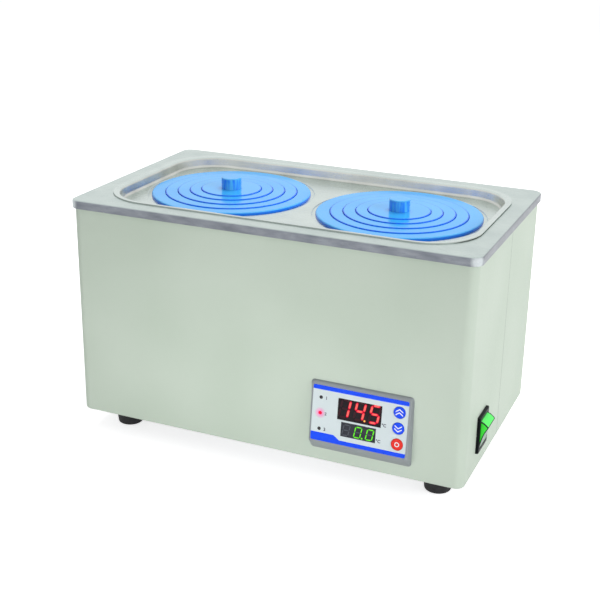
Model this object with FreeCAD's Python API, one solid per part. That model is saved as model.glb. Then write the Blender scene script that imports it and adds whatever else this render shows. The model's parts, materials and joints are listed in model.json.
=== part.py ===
import FreeCAD, Part
import math
import os

# Two-hole electric water bath with concentric ring lids.
# Millimetres. The feet stand on z = 0 and the front faces -Y. The solids are
# drawn about the middle of the casing, and saved with the origin on the bench
# under the middle of the whole length, rocker switch included.

# Tank: one deep-drawn stainless pressing with a flat rim and a short skirt
rim_length = 350.0
rim_depth = 204.0
rim_corner_radius = 9.0
rim_bend_radius = 1.4
skirt_height = 7.0
tank_sheet = 1.0
rim_margin_x = 18.8
rim_margin_y = 17.8
tank_corner_radius = 41.5
tank_floor_radius = 12.0
tank_lip_radius = 1.2
tank_well = 109.1

# Casing: two bent steel shells on a flat base
rim_overhang = 2.15
shell_sheet = 1.2
casing_corner_radius = 7.5
casing_bend_radius = 1.8
bottom_flange = 12.0
top_flange = 8.0
seam_y = 5.0
seam_gap = 0.3
seam_lap = 12.0
seam_root = 4.0
seam_end_margin = 6.0
base_sheet = 1.2
base_inset = 3.5
service_clearance = 3.1

# Insulation
jacket_thickness = 10.0
jacket_clearance = 0.3
jacket_top_gap = 4.0
jacket_hole_margin = 2.0

# Feet and screws
foot_height = 19.3
foot_top_radius = 13.0
foot_bottom_radius = 10.9
foot_bulge = 0.3
foot_edge_radius = 1.8
foot_inset_x = 28.55
foot_inset_y = 32.15
foot_recess_radius = 5.0
foot_recess_depth = 8.0
foot_screw_radius = 2.0
foot_screw_head_radius = 3.8
foot_screw_head_height = 2.6
foot_screw_proud = 2.0
foot_nut_flats = 7.0
foot_nut_height = 3.2
screw_clearance = 0.25
base_screw_radius = 1.5
base_screw_head_radius = 2.8
base_screw_head_height = 1.4
base_screw_length = 8.0
base_screw_inset = 8.4
base_screw_spread_x = 101.25
base_screw_spread_y = 52.25

# Vents in the base and the back
vent_width = 3.0
vent_pitch = 9.0
vent_count = 7
base_vent_length = 40.0
base_vent_inset_x = 86.25
base_vent_inset_y = 49.25
back_vent_length = 22.0
back_vent_inset = 111.25
back_vent_height = 38.0

# Cover tray: a thin stainless pressing that drops into the tank mouth
tray_sheet = 0.8
tray_overlap_x = 4.1
tray_overlap_y = 2.8
tray_overlap_corner = 2.5
tray_clearance = 0.8
tray_lip_radius = 1.2
tray_bend_radius = 2.4
tray_recess = 8.3
hole_shift = 4.0
seat_margin = 4.95
seat_width = 9.8
seat_step = 0.8

# Ring lids: each ring's ledge carries the next one in, which stands a step higher
seat_side_gap = 3.05
ring_shares = [1.0, 0.825, 0.671, 0.519]
disc_share = 0.375
ring_gap = 0.45
ring_height = 2.55
ring_step = 0.69
ring_flange = 2.4
ring_ledge_thickness = 1.8
ring_ledge_width = 4.0
ring_edge = 0.3
ring_rim_edge = 1.5
spigot_clearance = 0.4
spigot_width = 2.4
spigot_depth = 2.5
knob_radius = 8.7
knob_height = 9.5
knob_edge = 0.8
knob_bore_depth = 7.0
knob_screw_radius = 2.0
knob_screw_head_radius = 3.8
knob_screw_head_height = 2.0
knob_screw_clearance = 0.1

# Perforated shelf over the heater
shelf_sheet = 1.2
shelf_height = 32.0
shelf_clearance = 4.0
shelf_corner_cut = 5.0
shelf_leg_inset = 58.0
shelf_leg_flange = 8.0
shelf_leg_post = 20.0
shelf_leg_window_height = 18.0
shelf_hole_radius = 5.0
shelf_hole_margin_x = 25.0
shelf_hole_margin_y = 27.0
shelf_hole_columns = 9
shelf_hole_rows = 4

# Heater: a hairpin tube on two threaded ends through the tank floor
heater_radius = 4.5
heater_rise = 13.0
heater_side_margin = 59.2
heater_far_margin = 39.0
heater_end_gap = 33.0
heater_bend_radius = 11.0
heater_pin_radius = 2.0
heater_pin_length = 10.0

# Threaded fittings through the tank floor
fitting_radius = 6.0
fitting_collar_radius = 9.0
fitting_collar_height = 3.0
fitting_thread_length = 9.0
fitting_clearance = 0.3
gasket_thickness = 1.5
fitting_nut_flats = 19.0
fitting_nut_height = 5.0

# Temperature probe
probe_radius = 3.0
probe_rise = 26.0
probe_margin = 24.0

# Controller: moulded wedge bezel with a body behind the panel
controller_side_gap = 42.1
controller_width = 85.7
controller_height = 60.2
controller_rise = 11.3
controller_tilt = 6.8
controller_top_proud = 2.5
controller_face_inset_x = 1.4
controller_face_inset_z = 4.4
controller_face_drop = 0.6
controller_corner_radius = 3.0
controller_flange_x = 2.5
controller_flange_z = 4.1
controller_body_depth = 60.0
controller_wall = 1.6
controller_front_wall = 2.4
controller_chin = 6.5
controller_fit = 0.3
rear_cover_thickness = 2.0
rear_cover_lip = 3.0
rear_cover_clearance = 0.2
clamp_width = 5.5
clamp_height = 15.0
clamp_depth = 16.0
clamp_root = 5.3
clamp_tongue = 2.0

# Controller face
overlay_margin_x = 1.65
overlay_margin_z = 2.5
overlay_thickness = 0.4
overlay_recess = 0.3
overlay_clearance = 0.1
overlay_corner_radius = 1.2
pv_width = 36.7
pv_height = 17.8
pv_rise = 6.6
sv_width = 29.3
sv_height = 12.1
sv_rise = -9.8
display_margin = 0.3
display_clearance = 0.15
display_depth = 7.0
key_radius = 4.8
key_margin = 7.25
key_rises = [13.4, 0.35, -12.85]
key_proud = 0.4
key_clearance = 0.25
key_flange = 1.0
key_flange_thickness = 0.9
key_flange_gap = 0.3
lamp_radius = 1.5
lamp_margin = 6.95
lamp_clearance = 0.1
board_thickness = 1.6
board_margin = 5.0
board_clearance = 0.2
tact_size = 6.0
tact_plunger_radius = 1.75
tact_plunger = 0.6
tact_free_gap = 0.7
terminal_length = 62.0
terminal_height = 12.0
terminal_depth = 8.0
terminal_poles = 8
terminal_screw_radius = 2.2
terminal_screw_depth = 3.0

# Rocker switch in the right side
switch_inset = 45.85
switch_rise = 32.5
switch_frame_width = 26.0
switch_frame_height = 31.3
switch_frame_proud = 2.6
switch_frame_edge = 0.6
switch_body_width = 23.6
switch_body_height = 28.4
switch_body_depth = 21.0
switch_fit = 0.3
rocker_width = 20.5
rocker_radius = 12.0
rocker_clearance = 0.35
rocker_pivot_inset = 1.15
rocker_face_angle = 54.0
rocker_back_angle = 100.0
rocker_dish = 1.1
rocker_tilt = 18.0
rocker_pin_radius = 1.5
rocker_pin_clearance = 0.06
rocker_pin_end = 0.6
switch_cavity_depth = 8.0
blade_width = 6.3
blade_thickness = 0.8
blade_length = 8.0
blade_spread_y = 5.0
blade_spread_z = 7.0

# Mains entry and wiring
gland_inset = 53.25
gland_rise = 31.0
gland_bore = 3.7
gland_bore_end = 0.4
gland_tube_bore = 5.0
gland_thread_radius = 7.5
gland_flange_flats = 20.0
gland_flange_thickness = 4.0
gland_dome_length = 8.0
gland_dome_radius = 8.0
gland_nose_radius = 5.2
gland_dome_bulge = 0.9
gland_thread_length = 12.0
gland_hole_clearance = 0.2
gland_nut_flats = 19.0
gland_nut_height = 4.0
block_inset_x = 131.25
block_gap = 47.25
block_length = 62.0
block_width = 20.0
block_height = 24.0
block_poles = 6
block_screw_radius = 2.6
block_screw_depth = 5.0
block_lead_rise = 13.0
earth_inset_x = 43.25
earth_inset_y = 35.25
earth_radius = 2.5
earth_length = 20.0
earth_nut_flats = 8.0
earth_nut_height = 4.0
earth_lug_gap = 2.4
lead_radius = 1.2
lead_bend = 6.0
lead_drop = 18.0
lead_stub = 15.0
lead_pitch = 12.0
lead_lanes = [(7.2, 16.25, 6.0), (13.2, 25.25, 12.0)]

# Cutters, and blocks that are joined, run past each other by this much
overlap = 1.0

# Places that follow from the sizes above
casing_length = rim_length - 2 * rim_overhang
casing_width = rim_depth - 2 * rim_overhang
casing_side = casing_length / 2
casing_front = -casing_width / 2
casing_back = casing_width / 2
tank_length = rim_length - 2 * rim_margin_x
tank_width = rim_depth - 2 * rim_margin_y
tray_inner_length = tank_length - 2 * (tray_clearance + tray_sheet)
tray_inner_width = tank_width - 2 * (tray_clearance + tray_sheet)
hole_spacing = tray_inner_length / 2
seat_radius = min(tray_inner_width, hole_spacing) / 2 - seat_margin
hole_radius = seat_radius - seat_width
ring_radii = [(seat_radius - seat_side_gap) * share for share in ring_shares]
disc_radius = (seat_radius - seat_side_gap) * disc_share
shelf_length = tank_length - 2 * shelf_clearance
shelf_width = tank_width - 2 * shelf_clearance
probe_x = tank_length / 2 - probe_margin
heater_end_x = probe_x - heater_end_gap
heater_far_x = heater_far_margin - tank_length / 2
heater_half_spread = tank_width / 2 - heater_side_margin
controller_x = casing_side - controller_side_gap - controller_width / 2
controller_face_width = controller_width - 2 * controller_face_inset_x
controller_face_height = controller_height - 2 * controller_face_inset_z
controller_body_width = controller_width - 2 * controller_flange_x
controller_body_height = controller_height - 2 * controller_flange_z
overlay_width = controller_face_width - 2 * overlay_margin_x
overlay_height = controller_face_height - 2 * overlay_margin_z
key_column = overlay_width / 2 - key_margin
lamp_column = lamp_margin - overlay_width / 2
board_height = controller_body_height - 2 * board_margin
switch_y = casing_front + switch_inset
gland_x = casing_side - gland_inset
block_x = casing_side - block_inset_x
earth_x = casing_side - earth_inset_x
earth_y = casing_back - earth_inset_y
casing_bottom = foot_height + base_sheet
base_top = casing_bottom + shell_sheet
controller_mid_z = casing_bottom + controller_rise + controller_height / 2
jacket_bottom = controller_mid_z + controller_body_height / 2 + service_clearance
tank_bottom = jacket_bottom + jacket_thickness + jacket_clearance
tank_floor = tank_bottom + tank_sheet
fitting_bottom = tank_bottom - fitting_thread_length
rim_top = tank_floor + tank_well
rim_under = rim_top - tank_sheet
deck_top = rim_top - tray_recess
seat_top = deck_top - seat_step
lid_top = seat_top + ring_height
disc_top = lid_top + len(ring_shares) * ring_step
shelf_top = tank_floor + shelf_height
panel_inside = casing_front + shell_sheet
cover_y = casing_front + controller_body_depth
terminals_y = cover_y + rear_cover_thickness
terminals_end = terminals_y + terminal_depth
block_front = terminals_end + block_gap
block_y = block_front + block_width / 2
switch_z = casing_bottom + switch_rise
pivot_x = casing_side - rocker_pivot_inset
gland_z = casing_bottom + gland_rise
rocker_tip_x = pivot_x + rocker_radius * math.cos(math.radians(rocker_face_angle - rocker_tilt))
middle_x = (rocker_tip_x - rim_length / 2) / 2


def vec(x, y, z):
    return FreeCAD.Vector(x, y, z)


def box(x0, x1, y0, y1, z0, z1):
    return Part.makeBox(x1 - x0, y1 - y0, z1 - z0, vec(x0, y0, z0))


def rounded_wire(length, width, radius, z=0.0):
    """A rectangle with rounded corners, centred on the Z axis."""
    x = length / 2
    y = width / 2
    r = radius
    k = r * math.sqrt(0.5)
    edges = []
    for cx, cy, sx, sy in ((x - r, y - r, 1, 1), (-x + r, y - r, -1, 1),
                           (-x + r, -y + r, -1, -1), (x - r, -y + r, 1, -1)):
        along_x = vec(cx + sx * r, cy, z)
        along_y = vec(cx, cy + sy * r, z)
        middle = vec(cx + sx * k, cy + sy * k, z)
        ends = (along_x, along_y) if sx * sy > 0 else (along_y, along_x)
        edges.append(Part.Arc(ends[0], middle, ends[1]).toShape())
    sides = []
    for i, arc in enumerate(edges):
        start = arc.Vertexes[-1].Point
        end = edges[(i + 1) % 4].Vertexes[0].Point
        sides.append(Part.LineSegment(start, end).toShape())
    return Part.Wire([e for pair in zip(edges, sides) for e in pair])


def rounded_prism(length, width, radius, z0, z1):
    face = Part.Face(rounded_wire(length, width, radius, z0))
    return face.extrude(vec(0, 0, z1 - z0))


def edges_at(shape, z):
    """The edges of a shape that lie wholly in the plane at height z."""
    flat = [e for e in shape.Edges
            if abs(e.BoundBox.ZMin - z) < 1e-4 and abs(e.BoundBox.ZMax - z) < 1e-4]
    return flat


def rod(x, y, z0, z1, radius):
    return Part.makeCylinder(radius, z1 - z0, vec(x, y, z0))


def turned(points, x=0.0, y=0.0):
    """A closed (radius, height) outline spun round a vertical axis."""
    corners = [vec(x + r, y, z) for r, z in points]
    face = Part.Face(Part.makePolygon(corners + corners[:1]))
    return face.revolve(vec(x, y, 0), vec(0, 0, 1), 360)


def hexagon(flats, z0, z1, x=0.0, y=0.0):
    reach = flats / math.sqrt(3)
    corners = [vec(x + reach * math.cos(math.radians(a)), y + reach * math.sin(math.radians(a)), z0)
               for a in range(0, 361, 60)]
    corners[-1] = corners[0]
    return Part.Face(Part.makePolygon(corners)).extrude(vec(0, 0, z1 - z0))


def lead(points, radius, bend):
    """A round wire along straight runs joined by tangent arcs."""
    path = []
    start = points[0]
    for before, corner, after in zip(points, points[1:], points[2:]):
        back = (before - corner).normalize()
        ahead = (after - corner).normalize()
        half = (math.pi - back.getAngle(ahead)) / 2
        run = bend * math.tan(half)
        enter = corner + back * run
        leave = corner + ahead * run
        inward = (back + ahead).normalize()
        middle = corner + inward * (bend / math.cos(half) - bend)
        path.append(Part.LineSegment(start, enter).toShape())
        path.append(Part.Arc(enter, middle, leave).toShape())
        start = leave
    path.append(Part.LineSegment(start, points[-1]).toShape())
    spine = Part.Wire(path)
    section = Part.Wire(Part.makeCircle(radius, points[0], points[1] - points[0]))
    return spine.makePipeShell([section], True, True)


def fused(shapes):
    return shapes[0].fuse(shapes[1:]).removeSplitter()


def save(node, shape):
    placed = shape.copy()
    placed.translate(vec(-middle_x, 0, 0))
    placed.exportStep("parts/%s.step" % node)


# ---------------------------------------------------------------- casing

def casing_shell():
    """The whole painted skin with its turned-in flanges, before the seam."""
    top = rim_under
    outer = rounded_prism(casing_length, casing_width, casing_corner_radius, casing_bottom, top)
    outer = outer.makeFillet(casing_bend_radius, edges_at(outer, casing_bottom))
    inner_radius = casing_corner_radius - shell_sheet
    inner = rounded_prism(casing_length - 2 * shell_sheet, casing_width - 2 * shell_sheet,
                          inner_radius, base_top, top - shell_sheet)
    inner = inner.makeFillet(casing_bend_radius - shell_sheet, edges_at(inner, base_top))
    mouth = rounded_prism(casing_length - 2 * (shell_sheet + top_flange),
                          casing_width - 2 * (shell_sheet + top_flange), inner_radius,
                          top - 2 * shell_sheet, top + shell_sheet)
    floor = rounded_prism(casing_length - 2 * bottom_flange, casing_width - 2 * bottom_flange,
                          inner_radius, casing_bottom - shell_sheet, base_top + shell_sheet)
    return outer.cut([inner, mouth, floor])


def base_screw_places():
    x = casing_side - base_screw_inset
    y = casing_back - base_screw_inset
    inner_x = casing_side - base_screw_spread_x
    inner_y = casing_back - base_screw_spread_y
    ends = [(sx * x, sy * inner_y) for sx in (-1, 1) for sy in (-1, 1)]
    faces = [(sx * inner_x, sy * y) for sx in (-1, 1) for sy in (-1, 1)]
    return ends + faces


def base_screw_holes():
    hole = base_screw_radius + screw_clearance
    return [rod(x, y, casing_bottom - base_sheet, base_top + shell_sheet, hole)
            for x, y in base_screw_places()]


def front_shell():
    shell = casing_shell()
    behind = box(-rim_length, rim_length, seam_y - seam_gap / 2, rim_depth, 0, 2 * rim_top)
    half_w = controller_body_width / 2 + controller_fit
    half_h = controller_body_height / 2 + controller_fit
    panel = box(controller_x - half_w, controller_x + half_w,
                casing_front - shell_sheet, casing_front + 2 * shell_sheet,
                controller_mid_z - half_h, controller_mid_z + half_h)
    half_y = switch_body_width / 2 + switch_fit
    half_z = switch_body_height / 2 + switch_fit
    side = box(casing_side - 2 * shell_sheet, casing_side + shell_sheet,
               switch_y - half_y, switch_y + half_y, switch_z - half_z, switch_z + half_z)
    return shell.cut([behind, panel, side] + base_screw_holes())


def rear_shell():
    shell = casing_shell()
    ahead = box(-rim_length, rim_length, -rim_depth, seam_y + seam_gap / 2, 0, 2 * rim_top)
    shell = shell.cut([ahead] + base_screw_holes())
    inside = casing_side - shell_sheet
    laps = [box(min(side * inside, side * (inside - shell_sheet)),
                max(side * inside, side * (inside - shell_sheet)),
                seam_y - seam_lap, seam_y + seam_root,
                base_top + seam_end_margin, rim_under - shell_sheet - seam_end_margin)
            for side in (-1, 1)]
    shell = fused([shell] + laps)
    hole = Part.makeCylinder(gland_thread_radius + gland_hole_clearance, 4 * shell_sheet,
                             vec(gland_x, casing_back - 3 * shell_sheet, gland_z), vec(0, 1, 0))
    z = casing_bottom + back_vent_height
    slots = [box(x - vent_width / 2, x + vent_width / 2,
                 casing_back - 3 * shell_sheet, casing_back + shell_sheet,
                 z - back_vent_length / 2, z + back_vent_length / 2)
             for x in vent_places(back_vent_inset)]
    return shell.cut([hole] + slots)


def vent_places(inset):
    """The x of each slot in two groups, one towards each side of the casing."""
    return [side * (casing_side - inset) + (i - (vent_count - 1) / 2) * vent_pitch
            for side in (-1, 1) for i in range(vent_count)]


def base_plate():
    plate = rounded_prism(casing_length - 2 * base_inset, casing_width - 2 * base_inset,
                          casing_corner_radius - base_inset, foot_height, casing_bottom)
    y = casing_front + base_vent_inset_y
    slots = [box(x - vent_width / 2, x + vent_width / 2,
                 y - base_vent_length / 2, y + base_vent_length / 2,
                 foot_height - base_sheet, casing_bottom + base_sheet)
             for x in vent_places(base_vent_inset_x)]
    feet = [rod(x, y, foot_height - base_sheet, casing_bottom + base_sheet,
                foot_screw_radius + screw_clearance) for x, y in foot_places()]
    return plate.cut(slots + feet + base_screw_holes())


def base_screws():
    head_top = foot_height
    screws = []
    for x, y in base_screw_places():
        head = rod(x, y, head_top - base_screw_head_height, head_top, base_screw_head_radius)
        shank = rod(x, y, head_top - base_screw_head_height / 2, head_top + base_screw_length,
                    base_screw_radius)
        screws.append(head.fuse(shank).removeSplitter())
    return Part.makeCompound(screws)


def foot_places():
    x = casing_side - foot_inset_x
    y = casing_back - foot_inset_y
    return [(-x, -y), (x, -y), (-x, y), (x, y)]


def foot(x, y):
    """A moulded rubber foot: rounded sides, flat sole, counterbored for its screw."""
    waist = (foot_top_radius + foot_bottom_radius) / 2 + foot_bulge
    side = Part.Arc(vec(x + foot_bottom_radius, y, 0), vec(x + waist, y, foot_height / 2),
                    vec(x + foot_top_radius, y, foot_height)).toShape()
    corners = [vec(x + foot_top_radius, y, foot_height),
               vec(x + foot_screw_radius + screw_clearance, y, foot_height),
               vec(x + foot_screw_radius + screw_clearance, y, foot_recess_depth),
               vec(x + foot_recess_radius, y, foot_recess_depth),
               vec(x + foot_recess_radius, y, 0),
               vec(x + foot_bottom_radius, y, 0)]
    outline = Part.Wire([side] + Part.makePolygon(corners).Edges)
    body = Part.Face(outline).revolve(vec(x, y, 0), vec(0, 0, 1), 360)
    return body.makeFillet(foot_edge_radius, widest_edges(body, 0, foot_bottom_radius))


def widest_edges(shape, z, radius):
    """The outermost circle of a turned shape at height z."""
    return [e for e in edges_at(shape, z) if e.BoundBox.YLength > 2 * radius - overlap]


def foot_screws():
    screws = []
    for x, y in foot_places():
        head = rod(x, y, foot_recess_depth - foot_screw_head_height, foot_recess_depth,
                   foot_screw_head_radius)
        tip = casing_bottom + foot_nut_height + foot_screw_proud
        shank = rod(x, y, foot_recess_depth - foot_screw_head_height / 2, tip, foot_screw_radius)
        screws.append(head.fuse(shank).removeSplitter())
    return Part.makeCompound(screws)


def foot_nuts():
    nuts = []
    for x, y in foot_places():
        nut = hexagon(foot_nut_flats, casing_bottom, casing_bottom + foot_nut_height, x, y)
        bore = rod(x, y, casing_bottom - overlap, casing_bottom + foot_nut_height + overlap,
                   foot_screw_radius)
        nuts.append(nut.cut(bore))
    return Part.makeCompound(nuts)


# ---------------------------------------------------------------- tank

def fitting_places():
    """Where threaded fittings pass through the tank floor."""
    end = heater_end_x + heater_bend_radius
    return [(end, -heater_half_spread), (end, heater_half_spread), (probe_x, 0.0)]


def water_tank():
    skirt_bottom = rim_top - skirt_height
    rim = rounded_prism(rim_length, rim_depth, rim_corner_radius, skirt_bottom, rim_top)
    rim = rim.makeFillet(rim_bend_radius, edges_at(rim, rim_top))
    hollow = rounded_prism(rim_length - 2 * tank_sheet, rim_depth - 2 * tank_sheet,
                           rim_corner_radius - tank_sheet, skirt_bottom - tank_sheet, rim_under)
    hollow = hollow.makeFillet(rim_bend_radius - tank_sheet, edges_at(hollow, rim_under))
    tub = rounded_prism(tank_length + 2 * tank_sheet, tank_width + 2 * tank_sheet,
                        tank_corner_radius + tank_sheet, tank_bottom, rim_under)
    tub = tub.makeFillet(tank_floor_radius + tank_sheet, edges_at(tub, tank_bottom))
    water = rounded_prism(tank_length, tank_width, tank_corner_radius, tank_floor,
                          rim_top + overlap)
    water = water.makeFillet(tank_floor_radius, edges_at(water, tank_floor))
    tank = rim.cut(hollow).fuse(tub).cut(water)
    tank = tank.makeFillet(tank_lip_radius, mouth_edges(tank, rim_top, tank_length, tank_width))
    holes = [rod(x, y, tank_bottom - overlap, tank_floor + overlap, fitting_radius + fitting_clearance)
             for x, y in fitting_places()]
    return tank.cut(holes)


def mouth_edges(shape, z, length, width):
    """The edges at height z that run round an opening of this size."""
    slack = overlap / 2
    return [e for e in edges_at(shape, z)
            if e.BoundBox.XMax < length / 2 + slack and e.BoundBox.XMin > -length / 2 - slack
            and e.BoundBox.YMax < width / 2 + slack and e.BoundBox.YMin > -width / 2 - slack]


def insulation_jacket():
    inner_length = tank_length + 2 * (tank_sheet + jacket_clearance)
    inner_width = tank_width + 2 * (tank_sheet + jacket_clearance)
    inner_radius = tank_corner_radius + tank_sheet + jacket_clearance
    top = rim_under - shell_sheet - jacket_top_gap
    outer = rounded_prism(inner_length + 2 * jacket_thickness, inner_width + 2 * jacket_thickness,
                          inner_radius + jacket_thickness, jacket_bottom, top)
    inner = rounded_prism(inner_length, inner_width, inner_radius,
                          tank_bottom - jacket_clearance, top + overlap)
    hole = fitting_nut_flats / math.sqrt(3) + jacket_hole_margin
    holes = [rod(x, y, jacket_bottom - overlap, tank_bottom, hole) for x, y in fitting_places()]
    return outer.cut([inner] + holes)


def fitting(x, y):
    """Collar above the floor gasket and the thread below it."""
    seat = tank_floor + gasket_thickness
    collar = rod(x, y, seat, seat + fitting_collar_height, fitting_collar_radius)
    thread = rod(x, y, fitting_bottom, seat, fitting_radius)
    return [collar, thread]


def heater_element():
    axis_z = tank_floor + heater_rise + heater_radius
    y = heater_half_spread
    end_x = heater_end_x + heater_bend_radius
    corner = heater_bend_radius * (1 - math.sqrt(0.5))
    foot_z = tank_floor + gasket_thickness
    knee_z = axis_z - heater_bend_radius
    path = [
        Part.LineSegment(vec(end_x, -y, foot_z), vec(end_x, -y, knee_z)).toShape(),
        Part.Arc(vec(end_x, -y, knee_z), vec(end_x - corner, -y, axis_z - corner),
                 vec(heater_end_x, -y, axis_z)).toShape(),
        Part.LineSegment(vec(heater_end_x, -y, axis_z), vec(heater_far_x, -y, axis_z)).toShape(),
        Part.Arc(vec(heater_far_x, -y, axis_z), vec(heater_far_x - y, 0, axis_z),
                 vec(heater_far_x, y, axis_z)).toShape(),
        Part.LineSegment(vec(heater_far_x, y, axis_z), vec(heater_end_x, y, axis_z)).toShape(),
        Part.Arc(vec(heater_end_x, y, axis_z), vec(end_x - corner, y, axis_z - corner),
                 vec(end_x, y, knee_z)).toShape(),
        Part.LineSegment(vec(end_x, y, knee_z), vec(end_x, y, foot_z)).toShape(),
    ]
    section = Part.Wire(Part.makeCircle(heater_radius, vec(end_x, -y, foot_z), vec(0, 0, 1)))
    tube = Part.Wire(path).makePipeShell([section], True, True)
    pieces = [tube]
    for side in (-1, 1):
        pieces += fitting(end_x, side * y)
        pieces.append(rod(end_x, side * y, fitting_bottom - heater_pin_length,
                          fitting_bottom + overlap, heater_pin_radius))
    return fused(pieces)


def temperature_probe():
    stem = rod(probe_x, 0, tank_floor, tank_floor + probe_rise - probe_radius, probe_radius)
    tip = Part.makeSphere(probe_radius, vec(probe_x, 0, tank_floor + probe_rise - probe_radius))
    return fused([stem, tip] + fitting(probe_x, 0.0))


def floor_gaskets():
    rings = []
    top = tank_floor + gasket_thickness
    for x, y in fitting_places():
        ring = rod(x, y, tank_floor, top, fitting_collar_radius)
        rings.append(ring.cut(rod(x, y, tank_floor - overlap, top + overlap, fitting_radius)))
    return Part.makeCompound(rings)


def floor_nuts():
    nuts = []
    low = tank_bottom - fitting_nut_height
    for x, y in fitting_places():
        nut = hexagon(fitting_nut_flats, low, tank_bottom, x, y)
        nuts.append(nut.cut(rod(x, y, low - overlap, tank_bottom + overlap, fitting_radius)))
    return Part.makeCompound(nuts)


def perforated_shelf():
    plate = rounded_prism(shelf_length, shelf_width, tank_corner_radius - shelf_corner_cut,
                          shelf_top - shelf_sheet, shelf_top)
    step_x = (shelf_length - 2 * shelf_hole_margin_x) / (shelf_hole_columns - 1)
    step_y = (shelf_width - 2 * shelf_hole_margin_y) / (shelf_hole_rows - 1)
    holes = []
    for i in range(shelf_hole_columns):
        for j in range(shelf_hole_rows):
            x = (i - (shelf_hole_columns - 1) / 2) * step_x
            y = (j - (shelf_hole_rows - 1) / 2) * step_y
            holes.append(rod(x, y, shelf_top - 2 * shelf_sheet, shelf_top + shelf_sheet,
                             shelf_hole_radius))
    return plate.cut(holes)


def shelf_leg(side):
    """A bent strip spot-welded under one long edge, with a window for the water."""
    reach = shelf_length / 2 - shelf_leg_inset
    outside = side * shelf_width / 2
    inside = outside - side * shelf_sheet
    turned_in = outside - side * shelf_leg_flange
    top = shelf_top - shelf_sheet
    # the leg stands clear of the rounded floor corner
    foot_z = tank_floor + tank_floor_radius - math.sqrt(
        tank_floor_radius ** 2 - (tank_floor_radius - shelf_clearance) ** 2)
    leg = box(-reach, reach, min(outside, inside), max(outside, inside), foot_z, top)
    flange = box(-reach, reach, min(outside, turned_in), max(outside, turned_in),
                 top - shelf_sheet, top)
    window_x = reach - shelf_leg_post
    window = box(-window_x, window_x, min(outside, inside) - overlap, max(outside, inside) + overlap,
                 foot_z - overlap, foot_z + shelf_leg_window_height)
    return fused([leg, flange]).cut(window)


# ---------------------------------------------------------------- cover tray and lids

def cover_tray():
    top = rim_top + tray_sheet
    deck_under = deck_top - tray_sheet
    inner_radius = tank_corner_radius - tray_clearance - tray_sheet
    flange = rounded_prism(tank_length + 2 * tray_overlap_x, tank_width + 2 * tray_overlap_y,
                           tank_corner_radius + tray_overlap_corner, rim_top, top)
    tub = rounded_prism(tray_inner_length + 2 * tray_sheet, tray_inner_width + 2 * tray_sheet,
                        inner_radius + tray_sheet, deck_under, rim_top)
    tub = tub.makeFillet(tray_bend_radius + tray_sheet, edges_at(tub, deck_under))
    hollow = rounded_prism(tray_inner_length, tray_inner_width, inner_radius,
                           deck_top, top + overlap)
    hollow = hollow.makeFillet(tray_bend_radius, edges_at(hollow, deck_top))
    tray = flange.fuse(tub).cut(hollow)
    tray = tray.makeFillet(tray_lip_radius,
                           mouth_edges(tray, top, tray_inner_length, tray_inner_width))
    for side in (-1, 1):
        x = side * hole_spacing / 2
        seat = turned([(hole_radius, seat_top - tray_sheet),
                       (seat_radius + tray_sheet, seat_top - tray_sheet),
                       (seat_radius + tray_sheet, deck_under), (hole_radius, deck_under)],
                      x, hole_shift)
        tray = tray.fuse(seat)
        tray = tray.cut([rod(x, hole_shift, seat_top, rim_top, seat_radius),
                         rod(x, hole_shift, deck_under - 2 * seat_step, rim_top, hole_radius)])
    return tray.removeSplitter()


def ring_lid(index, x):
    """One ring: its flange lies on the ledge outside it, its ledge carries the next one."""
    outer = ring_radii[index]
    inner = (ring_radii[index + 1] if index + 1 < len(ring_radii) else disc_radius) + ring_gap
    top = lid_top + index * ring_step
    ledge_in = inner - ring_ledge_width
    ledge_top = top + ring_step - ring_flange
    ledge_under = ledge_top - ring_ledge_thickness
    bore = [(ledge_in, ledge_under), (ledge_in, ledge_top), (inner, ledge_top),
            (inner, top - ring_edge), (inner + ring_edge, top)]
    if index == 0:
        shoulder = hole_radius - spigot_clearance
        ring = turned(bore + [(outer, top), (outer, seat_top), (shoulder, seat_top),
                              (shoulder, seat_top - spigot_depth),
                              (shoulder - spigot_width, seat_top - spigot_depth),
                              (shoulder - spigot_width, ledge_under)], x, hole_shift)
        return ring.makeFillet(ring_rim_edge, widest_edges(ring, top, outer))
    web = outer - ring_ledge_width
    under = top - ring_flange
    return turned(bore + [(outer - ring_edge, top), (outer, top - ring_edge),
                          (outer, under), (web, under), (web, ledge_under)], x, hole_shift)


def lid_disc(x):
    """The centre disc: a stepped plate with a screw hole under the knob."""
    under = disc_top - ring_flange
    web = disc_radius - ring_ledge_width
    bottom = under - ring_ledge_thickness
    hole = knob_screw_radius + knob_screw_clearance
    return turned([(hole, bottom), (web, bottom), (web, under), (disc_radius, under),
                   (disc_radius, disc_top - ring_edge), (disc_radius - ring_edge, disc_top),
                   (hole, disc_top)], x, hole_shift)


def lid_knob(x):
    top = disc_top + knob_height
    bore_top = disc_top + knob_bore_depth
    return turned([(0, bore_top), (knob_screw_radius, bore_top), (knob_screw_radius, disc_top),
                   (knob_radius, disc_top), (knob_radius, top - knob_edge),
                   (knob_radius - knob_edge, top), (0, top)], x, hole_shift)


def knob_screw(x):
    under = disc_top - ring_flange - ring_ledge_thickness
    head = rod(x, hole_shift, under - knob_screw_head_height, under, knob_screw_head_radius)
    shank = rod(x, hole_shift, under - knob_screw_head_height / 2,
                disc_top + knob_bore_depth - overlap, knob_screw_radius)
    return head.fuse(shank).removeSplitter()


# ---------------------------------------------------------------- controller

def face_proud(z):
    """How far the tilted face stands off the casing at height z."""
    top = casing_bottom + controller_rise + controller_height - controller_face_drop
    return controller_top_proud + (top - z) * math.tan(math.radians(controller_tilt))


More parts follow.
